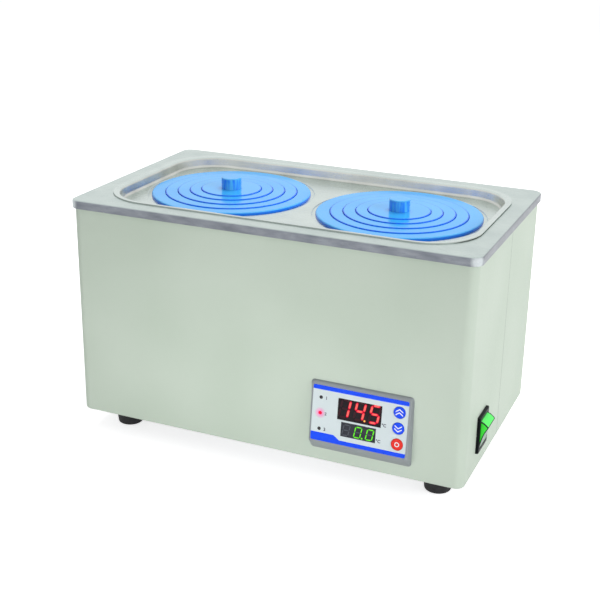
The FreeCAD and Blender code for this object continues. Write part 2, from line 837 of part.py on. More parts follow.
face_mid_z = (casing_bottom + controller_rise + controller_height - controller_face_drop
              - controller_face_height / 2 * math.cos(math.radians(controller_tilt)))
face_origin = vec(controller_x, casing_front - face_proud(face_mid_z), face_mid_z)
face_turn = FreeCAD.Rotation(vec(1, 0, 0), 90 - controller_tilt)
face_place = FreeCAD.Placement(face_origin, face_turn)


def on_face(shape):
    """Puts a shape drawn in face coordinates (across, up, outwards) on the tilted face."""
    placed = shape.copy()
    placed.Placement = face_place.multiply(placed.Placement)
    return placed


def face_block(across, up, width, height, low, high):
    return on_face(box(across - width / 2, across + width / 2, up - height / 2, up + height / 2,
                       low, high))


def face_rod(across, up, radius, low, high):
    return on_face(rod(across, up, low, high, radius))


def windows(margin, low, high):
    return [face_block(0, pv_rise, pv_width + 2 * margin, pv_height + 2 * margin, low, high),
            face_block(0, sv_rise, sv_width + 2 * margin, sv_height + 2 * margin, low, high)]


def controller_housing():
    base_place = FreeCAD.Placement(vec(controller_x, casing_front, controller_mid_z),
                                   FreeCAD.Rotation(vec(1, 0, 0), 90))
    base = rounded_wire(controller_width, controller_height, controller_corner_radius)
    base.Placement = base_place
    front = rounded_wire(controller_face_width, controller_face_height, controller_corner_radius)
    front.Placement = face_place
    bezel = Part.makeLoft([base, front], True, True)
    body = controller_block(0, casing_front - overlap / 2, cover_y)
    room = controller_block(controller_wall, casing_front, cover_y + overlap)
    deepest = face_proud(casing_bottom + controller_rise)
    pocket = controller_block(controller_wall, casing_front - deepest, casing_front + overlap)
    chin = controller_block(0, casing_front - deepest, casing_front + 2 * overlap)
    chin.translate(vec(0, 0, controller_chin - controller_body_height))
    behind_face = face_block(0, 0, 2 * controller_width, 2 * controller_height,
                             -2 * controller_body_depth, -controller_front_wall)
    hollow = room.fuse(pocket.cut(chin)).common(behind_face)
    recess = on_face(rounded_prism(overlay_width + 2 * overlay_clearance,
                                   overlay_height + 2 * overlay_clearance,
                                   overlay_corner_radius, -overlay_recess, overlap))
    behind = -overlay_recess - display_depth
    holes = face_holes(key_clearance, lamp_clearance, behind, overlap)
    openings = windows(display_margin + display_clearance, behind, overlap)
    return bezel.fuse(body).cut([hollow, recess] + holes + openings)


def controller_block(wall, y0, y1):
    """The body's rectangle less a wall all round, from y0 to y1."""
    half_w = controller_body_width / 2 - wall
    half_h = controller_body_height / 2 - wall
    return box(controller_x - half_w, controller_x + half_w, y0, y1,
               controller_mid_z - half_h, controller_mid_z + half_h)


def face_holes(around_keys, around_lamps, low, high):
    keys = [face_rod(key_column, up, key_radius + around_keys, low, high) for up in key_rises]
    lamps = [face_rod(lamp_column, up, lamp_radius + around_lamps, low, high) for up in key_rises]
    return keys + lamps


def controller_overlay():
    film = on_face(rounded_prism(overlay_width, overlay_height, overlay_corner_radius,
                                 -overlay_recess, overlay_thickness - overlay_recess))
    return film.cut(windows(0, -overlap, overlap)
                    + face_holes(key_clearance, lamp_clearance, -overlap, overlap))


board_front = -overlay_recess - display_depth


def display(width, height, up):
    return face_block(0, up, width + 2 * display_margin, height + 2 * display_margin,
                      board_front, -overlay_recess)


def indicator_lamps():
    top = overlay_thickness - overlay_recess
    return Part.makeCompound([face_rod(lamp_column, up, lamp_radius, board_front, top)
                              for up in key_rises])


def controller_board():
    width = controller_body_width - 2 * (controller_wall + board_clearance)
    return face_block(0, 0, width, board_height, board_front - board_thickness, board_front)


key_back = -controller_front_wall - key_flange_gap - key_flange_thickness


def key_cap(up):
    flange = face_rod(key_column, up, key_radius + key_flange, key_back,
                      key_back + key_flange_thickness)
    stem = face_rod(key_column, up, key_radius, key_back,
                    overlay_thickness - overlay_recess + key_proud)
    return flange.fuse(stem).removeSplitter()


def key_switches():
    top = key_back - tact_free_gap
    switches = []
    for up in key_rises:
        body = face_block(key_column, up, tact_size, tact_size, board_front, top - tact_plunger)
        plunger = face_rod(key_column, up, tact_plunger_radius, board_front, top)
        switches.append(body.fuse(plunger).removeSplitter())
    return Part.makeCompound(switches)


def controller_rear_cover():
    plate = controller_block(0, cover_y, terminals_y)
    lip_gap = controller_wall + rear_cover_clearance
    lip = controller_block(lip_gap, cover_y - rear_cover_lip, cover_y)
    hollow = controller_block(lip_gap + controller_wall, cover_y - rear_cover_lip - overlap, cover_y)
    return plate.fuse(lip.cut(hollow)).removeSplitter()


def controller_terminals():
    block = box(controller_x - terminal_length / 2, controller_x + terminal_length / 2,
                terminals_y, terminals_end,
                controller_mid_z - terminal_height / 2, controller_mid_z + terminal_height / 2)
    pitch = terminal_length / terminal_poles
    wells = [Part.makeCylinder(terminal_screw_radius, terminal_screw_depth + overlap,
                               vec(controller_x + (i - (terminal_poles - 1) / 2) * pitch,
                                   terminals_end - terminal_screw_depth, controller_mid_z),
                               vec(0, 1, 0))
             for i in range(terminal_poles)]
    return block.cut(wells)


def controller_clamps():
    """Two side clips that pull the bezel against the outside of the panel."""
    clips = []
    for side in (-1, 1):
        inner = controller_x + side * controller_body_width / 2
        tongue = inner + side * clamp_tongue
        outer = inner + side * clamp_width
        root = box(min(inner, outer), max(inner, outer), panel_inside, panel_inside + clamp_root,
                   controller_mid_z - clamp_height / 2, controller_mid_z + clamp_height / 2)
        strap = box(min(inner, tongue), max(inner, tongue), panel_inside, panel_inside + clamp_depth,
                    controller_mid_z - clamp_height / 2, controller_mid_z + clamp_height / 2)
        clips.append(fused([root, strap]))
    return Part.makeCompound(clips)


# ---------------------------------------------------------------- rocker switch

def switch_body():
    face = casing_side + switch_frame_proud
    frame = box(casing_side, face, switch_y - switch_frame_width / 2, switch_y + switch_frame_width / 2,
                switch_z - switch_frame_height / 2, switch_z + switch_frame_height / 2)
    edges = [e for e in frame.Edges if e.BoundBox.XMin > face - overlap]
    frame = frame.makeChamfer(switch_frame_edge, edges)
    back = casing_side - switch_body_depth
    body = box(back, casing_side, switch_y - switch_body_width / 2, switch_y + switch_body_width / 2,
               switch_z - switch_body_height / 2, switch_z + switch_body_height / 2)
    half_y = rocker_width / 2 + rocker_clearance
    half_z = rocker_radius + rocker_clearance
    cavity = box(pivot_x - switch_cavity_depth, face + overlap, switch_y - half_y, switch_y + half_y,
                 switch_z - half_z, switch_z + half_z)
    pin = Part.makeCylinder(rocker_pin_radius, switch_frame_width,
                            vec(pivot_x, switch_y - switch_frame_width / 2, switch_z), vec(0, 1, 0))
    return frame.fuse(body).cut([cavity, pin]).removeSplitter()


def rocker_profile_point(angle):
    a = math.radians(angle)
    return vec(pivot_x + rocker_radius * math.cos(a), switch_y - rocker_width / 2,
               switch_z + rocker_radius * math.sin(a))


def switch_rocker():
    """Dished paddle with ends struck from the pivot, tipped top side out."""
    top_face = rocker_profile_point(rocker_face_angle)
    low_face = rocker_profile_point(-rocker_face_angle)
    dish = vec(top_face.x - rocker_dish, top_face.y, switch_z)
    end = (rocker_face_angle + rocker_back_angle) / 2
    outline = Part.Wire([
        Part.Arc(low_face, dish, top_face).toShape(),
        Part.Arc(top_face, rocker_profile_point(end), rocker_profile_point(rocker_back_angle)).toShape(),
        Part.LineSegment(rocker_profile_point(rocker_back_angle),
                         rocker_profile_point(-rocker_back_angle)).toShape(),
        Part.Arc(rocker_profile_point(-rocker_back_angle), rocker_profile_point(-end),
                 low_face).toShape(),
    ])
    paddle = Part.Face(outline).extrude(vec(0, rocker_width, 0))
    bore = Part.makeCylinder(rocker_pin_radius + rocker_pin_clearance, rocker_width + 2 * overlap,
                             vec(pivot_x, switch_y - rocker_width / 2 - overlap, switch_z),
                             vec(0, 1, 0))
    paddle = paddle.cut(bore)
    paddle.rotate(vec(pivot_x, switch_y, switch_z), vec(0, 1, 0), rocker_tilt)
    return paddle


def switch_pin():
    length = switch_body_width - 2 * rocker_pin_end
    return Part.makeCylinder(rocker_pin_radius, length, vec(pivot_x, switch_y - length / 2, switch_z),
                             vec(0, 1, 0))


def switch_terminals():
    back = casing_side - switch_body_depth
    blades = [box(back - blade_length, back, switch_y + sy * blade_spread_y - blade_thickness / 2,
                  switch_y + sy * blade_spread_y + blade_thickness / 2,
                  switch_z + sz * blade_spread_z - blade_width / 2,
                  switch_z + sz * blade_spread_z + blade_width / 2)
              for sy in (-1, 1) for sz in (-1, 1)]
    return Part.makeCompound(blades)


# ---------------------------------------------------------------- mains entry and wiring

def along_back(shape):
    """Turns a shape drawn up the Z axis so that it points out of the back."""
    turned_shape = shape.copy()
    turned_shape.Placement = FreeCAD.Placement(
        vec(gland_x, casing_back, gland_z), FreeCAD.Rotation(vec(1, 0, 0), -90))
    return turned_shape


def cord_gland():
    """Threaded tube, hexagon flange and domed nose; the nose alone grips the cord."""
    flange_top = gland_flange_thickness
    tip = flange_top + gland_dome_length
    waist = (gland_dome_radius + gland_nose_radius) / 2 + gland_dome_bulge
    side = Part.Arc(vec(gland_dome_radius, 0, flange_top), vec(waist, 0, (flange_top + tip) / 2),
                    vec(gland_nose_radius, 0, tip)).toShape()
    base = [vec(gland_nose_radius, 0, tip), vec(0, 0, tip), vec(0, 0, flange_top),
            vec(gland_dome_radius, 0, flange_top)]
    dome = Part.Face(Part.Wire([side] + Part.makePolygon(base).Edges))
    dome = dome.revolve(vec(0, 0, 0), vec(0, 0, 1), 360)
    tube = rod(0, 0, -gland_thread_length, 0, gland_thread_radius)
    flange = hexagon(gland_flange_flats, 0, flange_top)
    grip = rod(0, 0, 0, tip + overlap, gland_bore)
    wide = rod(0, 0, -gland_thread_length - overlap, gland_bore_end, gland_tube_bore)
    return along_back(fused([dome, flange, tube]).cut([grip, wide]))


def gland_nut():
    low = -shell_sheet - gland_nut_height
    nut = hexagon(gland_nut_flats, low, -shell_sheet)
    return along_back(nut.cut(rod(0, 0, low - overlap, 0, gland_thread_radius)))


def terminal_block():
    block = box(block_x - block_length / 2, block_x + block_length / 2, block_y - block_width / 2,
                block_y + block_width / 2, casing_bottom, casing_bottom + block_height)
    top = casing_bottom + block_height
    wells = [rod(x, block_y, top - block_screw_depth, top + overlap, block_screw_radius)
             for x in block_pole_places()]
    return block.cut(wells)


def block_pole_places():
    pitch = block_length / block_poles
    return [block_x + (i - (block_poles - 1) / 2) * pitch for i in range(block_poles)]


def earth_stud():
    return rod(earth_x, earth_y, casing_bottom, casing_bottom + earth_length, earth_radius)


def earth_nuts():
    nuts = []
    for i in (0, 1):
        low = casing_bottom + i * (earth_nut_height + earth_lug_gap)
        high = low + earth_nut_height
        nut = hexagon(earth_nut_flats, low, high, earth_x, earth_y)
        nuts.append(nut.cut(rod(earth_x, earth_y, low - overlap, high + overlap, earth_radius)))
    return Part.makeCompound(nuts)


def block_entry(pole, side):
    """A point on the block's face and one a little way out from it."""
    x = block_pole_places()[pole]
    y = block_y + side * block_width / 2
    z = casing_bottom + block_lead_rise
    return [vec(x, y + side * lead_drop, z), vec(x, y, z)]


def heater_leads():
    """From each heater pin down and across to the last pole of the terminal block."""
    tip = fitting_bottom - heater_pin_length
    wires = []
    for (x, y), side in zip(fitting_places(), (-1, 1)):
        points = [vec(x, y, tip), vec(x, y, tip - lead_drop)] + block_entry(block_poles - 1, side)
        wires.append(lead(points, lead_radius, lead_bend))
    return Part.makeCompound(wires)


def sensor_lead():
    end_x = controller_x + terminal_length / 2 - lead_stub
    end_z = controller_mid_z + terminal_height / 3
    points = [vec(probe_x, 0, fitting_bottom), vec(probe_x, 0, fitting_bottom - lead_stub),
              vec(end_x, terminals_end + lead_stub, end_z), vec(end_x, terminals_end, end_z)]
    return lead(points, lead_radius, lead_bend)


def controller_leads():
    z = controller_mid_z - terminal_height / 3
    wires = []
    for pole in (0, 1):
        x = controller_x - terminal_length / 3 + pole * lead_pitch
        points = [vec(x, terminals_end, z), vec(x, terminals_end + lead_stub, z)]
        wires.append(lead(points + block_entry(pole, -1), lead_radius, lead_bend))
    return Part.makeCompound(wires)


def switch_leads():
    """Two wires from the lower blades, each in its own lane along the base."""
    start_x = casing_side - switch_body_depth - blade_length
    z = switch_z - blade_spread_z
    wires = []
    for pole, side, (turn, ahead, rise) in zip((2, 3), (1, -1), lead_lanes):
        y = switch_y + side * blade_spread_y
        run_y = block_front - ahead
        run_z = casing_bottom + rise
        entry = block_entry(pole, -1)[1]
        points = [vec(start_x, y, z), vec(start_x - turn, y, z),
                  vec(start_x - turn, run_y, run_z), vec(entry.x, run_y, run_z),
                  vec(entry.x, entry.y, run_z)]
        wires.append(lead(points, lead_radius, lead_bend))
    return Part.makeCompound(wires)


# ---------------------------------------------------------------- the nodes

os.makedirs("parts", exist_ok=True)

save("front_shell", front_shell())
save("rear_shell", rear_shell())
save("base_plate", base_plate())
save("base_screws", base_screws())
for name, place in zip(("front_left", "front_right", "rear_left", "rear_right"), foot_places()):
    save("foot_" + name, foot(*place))
save("foot_screws", foot_screws())
save("foot_nuts", foot_nuts())

save("water_tank", water_tank())
save("insulation_jacket", insulation_jacket())
save("heater_element", heater_element())
save("temperature_probe", temperature_probe())
save("floor_gaskets", floor_gaskets())
save("floor_nuts", floor_nuts())
save("perforated_shelf", perforated_shelf())
save("shelf_leg_front", shelf_leg(-1))
save("shelf_leg_rear", shelf_leg(1))

save("cover_tray", cover_tray())
for name, side in (("left", -1), ("right", 1)):
    centre = side * hole_spacing / 2
    for number in range(len(ring_radii)):
        save("%s_ring_%d" % (name, number + 1), ring_lid(number, centre))
    save(name + "_lid_disc", lid_disc(centre))
    save(name + "_lid_knob", lid_knob(centre))
    save(name + "_knob_screw", knob_screw(centre))

save("controller_housing", controller_housing())
save("controller_overlay", controller_overlay())
save("pv_display", display(pv_width, pv_height, pv_rise))
save("sv_display", display(sv_width, sv_height, sv_rise))
save("indicator_lamps", indicator_lamps())
save("controller_board", controller_board())
save("key_switches", key_switches())
for name, rise in zip(("up", "down", "set"), key_rises):
    save("key_" + name, key_cap(rise))
save("controller_rear_cover", controller_rear_cover())
save("controller_terminals", controller_terminals())
save("controller_clamps", controller_clamps())

save("switch_body", switch_body())
save("switch_rocker", switch_rocker())
save("switch_pin", switch_pin())
save("switch_terminals", switch_terminals())

save("cord_gland", cord_gland())
save("gland_nut", gland_nut())
save("terminal_block", terminal_block())
save("earth_stud", earth_stud())
save("earth_nuts", earth_nuts())
save("heater_leads", heater_leads())
save("sensor_lead", sensor_lead())
save("controller_leads", controller_leads())
save("switch_leads", switch_leads())
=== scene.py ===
import json
import math

import bmesh
import bpy
from mathutils import Matrix, Vector


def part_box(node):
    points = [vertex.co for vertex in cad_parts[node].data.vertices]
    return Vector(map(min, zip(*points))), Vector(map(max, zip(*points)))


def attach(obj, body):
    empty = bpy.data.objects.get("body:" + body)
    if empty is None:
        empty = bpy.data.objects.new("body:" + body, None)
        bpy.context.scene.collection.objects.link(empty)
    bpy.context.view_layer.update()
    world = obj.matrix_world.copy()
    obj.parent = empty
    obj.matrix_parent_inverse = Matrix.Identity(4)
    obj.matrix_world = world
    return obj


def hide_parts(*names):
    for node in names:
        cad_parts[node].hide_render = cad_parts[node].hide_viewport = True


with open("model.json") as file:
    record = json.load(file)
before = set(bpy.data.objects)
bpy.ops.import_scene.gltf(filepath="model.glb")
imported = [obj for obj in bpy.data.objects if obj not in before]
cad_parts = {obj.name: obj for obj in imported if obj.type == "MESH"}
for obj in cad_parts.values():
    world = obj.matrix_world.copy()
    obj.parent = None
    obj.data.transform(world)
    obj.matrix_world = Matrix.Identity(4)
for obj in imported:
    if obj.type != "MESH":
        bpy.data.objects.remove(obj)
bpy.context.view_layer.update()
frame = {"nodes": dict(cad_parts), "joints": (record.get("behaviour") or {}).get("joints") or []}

mm = 0.001

# ------------------------ casing
# The casing is two bent shells of 1.2 mm steel sheet that meet in a seam half
# way back. They are powder coated light grey-green, with the fine orange-peel
# grain of such a coat, and are screwed to the base plate from below.


def screen(red, green, blue):
    """A colour as seen on a screen, 0 to 255, in the linear values that a shader takes."""
    parts = [c / 255 for c in (red, green, blue)]
    return (*[c / 12.92 if c <= 0.04045 else ((c + 0.055) / 1.055) ** 2.4 for c in parts], 1.0)


def add_node(owner, kind, inputs, **settings):
    """A shader node of this kind. Each input is a value, or a socket of another node that feeds it."""
    tree = owner.node_tree
    node = tree.nodes.new(kind)
    for setting, value in settings.items():
        setattr(node, setting, value)
    for socket, value in inputs.items():
        if isinstance(value, bpy.types.NodeSocket):
            tree.links.new(value, node.inputs[socket])
        else:
            node.inputs[socket].default_value = value
    return node


def shader_of(material):
    return material.node_tree.nodes["Principled BSDF"]


def new_finish(name, colour, roughness, metallic=0.0):
    material = bpy.data.materials.new(name)
    material.use_nodes = True
    shader = shader_of(material)
    shader.inputs["Base Color"].default_value = colour
    shader.inputs["Roughness"].default_value = roughness
    shader.inputs["Metallic"].default_value = metallic
    return material


def place_of(material):
    """Where each point of a piece is in the frame, in metres."""
    return add_node(material, "ShaderNodeTexCoord", {}).outputs["Object"]


def add_grain(material, size, detail=2.0, stretch=(1, 1, 1)):
    """Noise fixed to the piece, with lumps of this size in metres, drawn out along an axis by stretch."""
    scales = [1 / s for s in stretch]
    mapping = add_node(material, "ShaderNodeMapping", {"Vector": place_of(material), "Scale": scales})
    inputs = {"Vector": mapping.outputs["Vector"], "Scale": 1 / size, "Detail": detail}
    return add_node(material, "ShaderNodeTexNoise", inputs).outputs["Fac"]


def spread(material, value, low, high, new_low=0, new_high=1):
    """Stretches the part of a value between low and high to a new range, and stops at its ends."""
    inputs = {"Value": value, "From Min": low, "From Max": high, "To Min": new_low, "To Max": new_high}
    return add_node(material, "ShaderNodeMapRange", inputs).outputs["Result"]


def mix_colours(material, share, first, second):
    """first where share is 0 and second where it is 1. Each is a colour, or a socket that gives one."""
    inputs = {0: share, 6: first, 7: second}
    return add_node(material, "ShaderNodeMix", inputs, data_type="RGBA").outputs[2]


def paint(material, colour):
    material.node_tree.links.new(colour, shader_of(material).inputs["Base Color"])


def tone_of(material):
    """The socket that paints the finish so far."""
    return shader_of(material).inputs["Base Color"].links[0].from_socket


def new_mottled(name, dark, pale, roughness, size, detail=2.0, stretch=(1, 1, 1), ends=(0, 1), metallic=0.0):
    """A finish whose tone wanders between two screen colours with a grain, and the grain itself.

    The tone changes while the grain goes from one of the ends to the other, and is even beyond them.
    """
    material = new_finish(name, screen(*pale), roughness, metallic)
    grain = add_grain(material, size, detail, stretch)
    paint(material, mix_colours(material, spread(material, grain, *ends), screen(*dark), screen(*pale)))
    return material, grain


def roughen(material, grain, smoothest, roughest):
    value = spread(material, grain, 0.3, 0.7, smoothest, roughest)
    material.node_tree.links.new(value, shader_of(material).inputs["Roughness"])


def emboss(material, grain, depth, strength):
    """Raises the surface by the grain, on top of any grain that it has already."""
    normal = shader_of(material).inputs["Normal"]
    inputs = {"Height": grain, "Distance": depth, "Strength": strength}
    if normal.is_linked:
        inputs["Normal"] = normal.links[0].from_socket
    bump = add_node(material, "ShaderNodeBump", inputs)
    material.node_tree.links.new(bump.outputs["Normal"], normal)


def dress(material, *names):
    """Gives CAD nodes this material."""
    for name in names:
        mesh = frame["nodes"][name].data
        mesh.materials.clear()
        mesh.materials.append(material)


def along(material, axis):
    """How far along an axis of the frame each point of a piece is, in metres."""
    return add_node(material, "ShaderNodeSeparateXYZ", {"Vector": place_of(material)}).outputs[axis]


def nearness(material, axis, place, reach):
    """1 within reach of a plane across an axis of the frame, and 0 elsewhere."""
    inputs = {0: along(material, axis), 1: place, 2: reach}
    return add_node(material, "ShaderNodeMath", inputs, operation="COMPARE").outputs["Value"]


casing_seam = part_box("front_shell")[1].y
seam_half_width = 0.35 * mm
soft_ends = (0.35, 0.65)
powder_coat, _ = new_mottled("powder_coat", (195, 209, 194), (201, 214, 200), 0.5, 90 * mm, 1.0,
                             ends=soft_ends)
seam_shade = nearness(powder_coat, "Y", casing_seam, seam_half_width)
paint(powder_coat, mix_colours(powder_coat, seam_shade, tone_of(powder_coat), screen(158, 170, 160)))
orange_peel = add_grain(powder_coat, 1.3 * mm)
emboss(powder_coat, orange_peel, 0.25 * mm, 0.35)
roughen(powder_coat, orange_peel, 0.42, 0.58)
dress(powder_coat, "front_shell", "rear_shell")

# ------------------------ base plate
# A flat zinc-plated sheet with vent slots closes the casing from below. Eight
# pan-head screws hold it to the turned-in flanges of the two shells.

zinc_plate, _ = new_mottled("zinc_plate", (160, 165, 170), (194, 197, 199), 0.38, 9 * mm, 3.0,
                            ends=soft_ends, metallic=0.9)
roughen(zinc_plate, add_grain(zinc_plate, 4 * mm), 0.3, 0.48)
dress(zinc_plate, "base_plate", "base_screws", "foot_screws", "foot_nuts", "floor_nuts")

# ------------------------ feet
# Four black rubber feet, moulded with rounded sides and a recess for the
# screw that holds each to the base plate. Their soles carry the whole bath.


def soften(corners, closed=True, steps=5):
    """An outline of (x, y, radius) corners as points, each corner turned on an arc of its radius."""
    points = []
    for i, (x, y, radius) in enumerate(corners):
        here = Vector((x, y))
        if radius == 0 or (not closed and i in (0, len(corners) - 1)):
            points.append(here)
            continue
        back = (Vector(corners[i - 1][:2]) - here).normalized()
        ahead = (Vector(corners[(i + 1) % len(corners)][:2]) - here).normalized()
        half = back.angle(ahead) / 2
        centre = here + (back + ahead).normalized() * radius / math.sin(half)
        start = here + back * radius / math.tan(half) - centre
        end = here + ahead * radius / math.tan(half) - centre
        turn = -start.angle_signed(end)
        points += [centre + Matrix.Rotation(turn * k / steps, 2) @ start for k in range(steps + 1)]
    return points


def new_object(name, data):
    thing = bpy.data.objects.new(name, data)
    bpy.context.scene.collection.objects.link(thing)
    return thing


def finish_mesh(name, bm, materials, body, stands_for, sheet=0):
    """Turns a bmesh into a piece that rides on a body and stands for CAD nodes.

    A sheet is given as its upper skin, and gets its thickness below it. Its cut edge has the last finish.
    """
    bmesh.ops.remove_doubles(bm, verts=bm.verts, dist=1e-6)
    bmesh.ops.recalc_face_normals(bm, faces=bm.faces)
    mesh = bpy.data.meshes.new(name)
    bm.to_mesh(mesh)
    bm.free()
    piece = new_object(name, mesh)
    for material in materials:
        mesh.materials.append(material)
    if sheet:
        skin = piece.modifiers.new("sheet", "SOLIDIFY")
        skin.thickness = sheet
        skin.offset = -1
        skin.material_offset_rim = len(materials) - 1
        thick = piece.evaluated_get(bpy.context.evaluated_depsgraph_get())
        piece.data = bpy.data.meshes.new_from_object(thick)
        piece.modifiers.remove(skin)
        bpy.data.meshes.remove(mesh)
    piece.data.shade_smooth()
    piece.data.set_sharp_from_angle(angle=math.radians(35))
    evened = piece.modifiers.new("evened", "WEIGHTED_NORMAL")
    evened.keep_sharp = True
    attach(piece, body)
    if stands_for:
        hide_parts(*stands_for)
    return piece


def add_loop(bm, points):
    return [bm.verts.new(p) for p in points]


def bridge(bm, loops, material_index=0):
    """Quads between each closed loop and the next, which all have as many points."""
    for first, second in zip(loops, loops[1:]):
        for i in range(len(first)):
            j = (i + 1) % len(first)
            face = bm.faces.new((first[i], first[j], second[j], second[i]))
            face.material_index = material_index


def circle(radius, steps):
    """Points round a circle about (0, 0)."""
    turns = [math.tau * k / steps for k in range(steps)]
    return [(radius * math.cos(a), radius * math.sin(a)) for a in turns]


def spin_loops(bm, outline, x, y, steps):
    """A level circle round the upright line through x, y for each (radius, height) of an outline."""
    return [add_loop(bm, [(x + u, y + v, height) for u, v in circle(radius, steps)])
            for radius, height in outline]


def spin(bm, outline, x, y, steps, closed=True):
    """Turns an outline of (radius, height) points round the upright line through x, y."""
    loops = spin_loops(bm, outline, x, y, steps)
    bridge(bm, loops + (loops[:1] if closed else []))
    bmesh.ops.remove_doubles(bm, verts=bm.verts, dist=1e-7)


def middle_of(node):
    low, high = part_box(node)
    return (low + high) / 2


def radius_of(node):
    low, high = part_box(node)
    return (high.x - low.x) / 2


black_rubber = new_finish("black_rubber", screen(34, 34, 36), 0.62)
roughen(black_rubber, add_grain(black_rubber, 3 * mm), 0.52, 0.75)
emboss(black_rubber, add_grain(black_rubber, 0.6 * mm), 0.08 * mm, 0.5)

foot_sole_radius = 10.9 * mm
foot_sole_edge = 1.8 * mm
foot_top_edge = 0.5 * mm
foot_recess_radius = 5.0 * mm
foot_recess_edge = 0.4 * mm
foot_recess_depth = 8.0 * mm
foot_bore_radius = 2.25 * mm
for node in ("foot_front_left", "foot_front_right", "foot_rear_left", "foot_rear_right"):
    low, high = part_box(node)
    outline = soften([
        (foot_recess_radius, low.z, foot_recess_edge),
        (foot_sole_radius, low.z, foot_sole_edge),
        (radius_of(node), high.z, foot_top_edge),
        (foot_bore_radius, high.z, 0),
        (foot_bore_radius, foot_recess_depth, 0),
        (foot_recess_radius, foot_recess_depth, 0)])
    bm = bmesh.new()
    spin(bm, outline, *middle_of(node).xy, 64)
    finish_mesh("rubber_" + node, bm, [black_rubber], "cabinet", [node])

# ------------------------ water tank
# One deep-drawn pressing of 1 mm stainless sheet: a tub with round corners, a
# flat rim, and a short skirt that laps over the casing. The rim has a satin
# finish. The skirt and the outer walls are painted darker and mottled, as
# painted reflection, with a painted highlight at each corner of the skirt.


def new_stainless(name, dark, pale, roughness, brush=(30, 1, 1), relief=0.15):
    """Satin stainless sheet, brushed along one axis, with faint clouds in its tone."""
    steel, _ = new_mottled(name, dark, pale, roughness, 26 * mm, ends=soft_ends, metallic=1.0)
    brushing = add_grain(steel, 0.5 * mm, 3.0, brush)
    emboss(steel, brushing, 0.05 * mm, relief)
    roughen(steel, brushing, roughness - 0.05, roughness + 0.07)
    return steel


def outward(material):
    """1 where a wall faces away from the middle of the frame, and 0 where it faces in."""
    place = add_node(material, "ShaderNodeTexCoord", {})
    inputs = {0: place.outputs["Normal"], 1: place.outputs["Object"]}
    facing = add_node(material, "ShaderNodeVectorMath", inputs, operation="DOT_PRODUCT")
    return spread(material, facing.outputs["Value"], -1 * mm, 1 * mm)


def closeness(material, point, near, far):
    """1 up to the near distance from a point, falling to 0 at the far one."""
    gap = add_node(material, "ShaderNodeVectorMath", {0: place_of(material), 1: point}, operation="DISTANCE")
    return spread(material, gap.outputs["Value"], near, far, 1, 0)


rim_low, rim_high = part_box("water_tank")
rim_top = rim_high.z
rim_bend = 1.4 * mm
skirt_middle = rim_top - 3.5 * mm
corner_reach = 5.5 * mm
corner_fade = 8.5 * mm
tank_steel = new_stainless("tank_steel", (190, 203, 200), (200, 212, 208), 0.3)
top_tone = tone_of(tank_steel)
# Outward walls below the bend get a darker, mottled tone that paints their reflection.
skirt_mottle = spread(tank_steel, add_grain(tank_steel, 5 * mm, 4.0, (3, 3, 1)), 0.3, 0.7)
painted_skirt_reflection = mix_colours(tank_steel, skirt_mottle, screen(126, 131, 140), screen(154, 159, 167))
# Each corner of the skirt is painted brighter, as a painted highlight.
for x in (rim_low.x, rim_high.x):
    for y in (rim_low.y, rim_high.y):
        painted_corner_highlight = closeness(tank_steel, (x, y, skirt_middle), corner_reach, corner_fade)
        painted_skirt_reflection = mix_colours(tank_steel, painted_corner_highlight, painted_skirt_reflection, screen(204, 211, 214))
tone_with_painted_skirt = mix_colours(tank_steel, outward(tank_steel), top_tone, painted_skirt_reflection)
height = along(tank_steel, "Z")
below_bend = spread(tank_steel, height, rim_top - 0.6 * rim_bend, rim_top - 0.1 * rim_bend, 1, 0)
paint(tank_steel, mix_colours(tank_steel, below_bend, top_tone, tone_with_painted_skirt))
dress(tank_steel, "water_tank")

# ------------------------ insulation
# A jacket of felted glass wool is wrapped round the tub and under its floor,
# with round cut-outs for the nuts of the heater and the probe.

glass_wool, wool_fibres = new_mottled("glass_wool", (216, 202, 164), (246, 240, 220), 0.95,
                                      2.5 * mm, 6.0, (4, 1, 1))
emboss(glass_wool, wool_fibres, 1.2 * mm, 0.6)
dress(glass_wool, "insulation_jacket")

# ------------------------ heater, probe and shelf
# A bright hairpin heater and a temperature probe pass through the tank floor,
# each on a silicone gasket. The perforated shelf stands over them on two bent
# legs, and is all of stainless sheet.

bright_steel = new_stainless("bright_steel", (190, 186, 178), (222, 222, 220), 0.2, (1, 1, 1))
dress(bright_steel, "heater_element", "temperature_probe")

shelf_steel = new_stainless("shelf_steel", (196, 199, 199), (216, 218, 217), 0.28)
dress(shelf_steel, "perforated_shelf", "shelf_leg_front", "shelf_leg_rear")

red_silicone, _ = new_mottled("red_silicone", (188, 78, 58), (210, 98, 76), 0.6, 2 * mm)
dress(red_silicone, "floor_gaskets")

# ------------------------ cover tray
# A thin stainless pressing that drops into the tank mouth and hangs on its
# flange. Its wall leans out a little, its deck is sunk 8 mm, and each of the
# two holes has a shallow step round it that seats the outermost lid ring.


def corner_loop(length, width, radius, z, steps=12, middle=(0, 0)):
    """A level rectangle with rounded corners round a middle point."""
    points = []
    for quarter, (sx, sy) in enumerate(((1, 1), (-1, 1), (-1, -1), (1, -1))):
        for k in range(steps + 1):
            a = math.radians(90 * (quarter + k / steps))
            points.append((middle[0] + sx * (length / 2 - radius) + radius * math.cos(a),
                           middle[1] + sy * (width / 2 - radius) + radius * math.sin(a), z))
    return points


def loop_edges(bm, loop):
    """The edges round a closed loop, made where the mesh lacks them."""
    pairs = zip(loop, loop[1:] + loop[:1])
    return [bm.edges.get(pair) or bm.edges.new(pair) for pair in pairs]


def fill_between(bm, edges):
    """A flat skin inside an outline and round the openings in it."""
    bmesh.ops.triangle_fill(bm, use_beauty=True, use_dissolve=False, edges=edges)


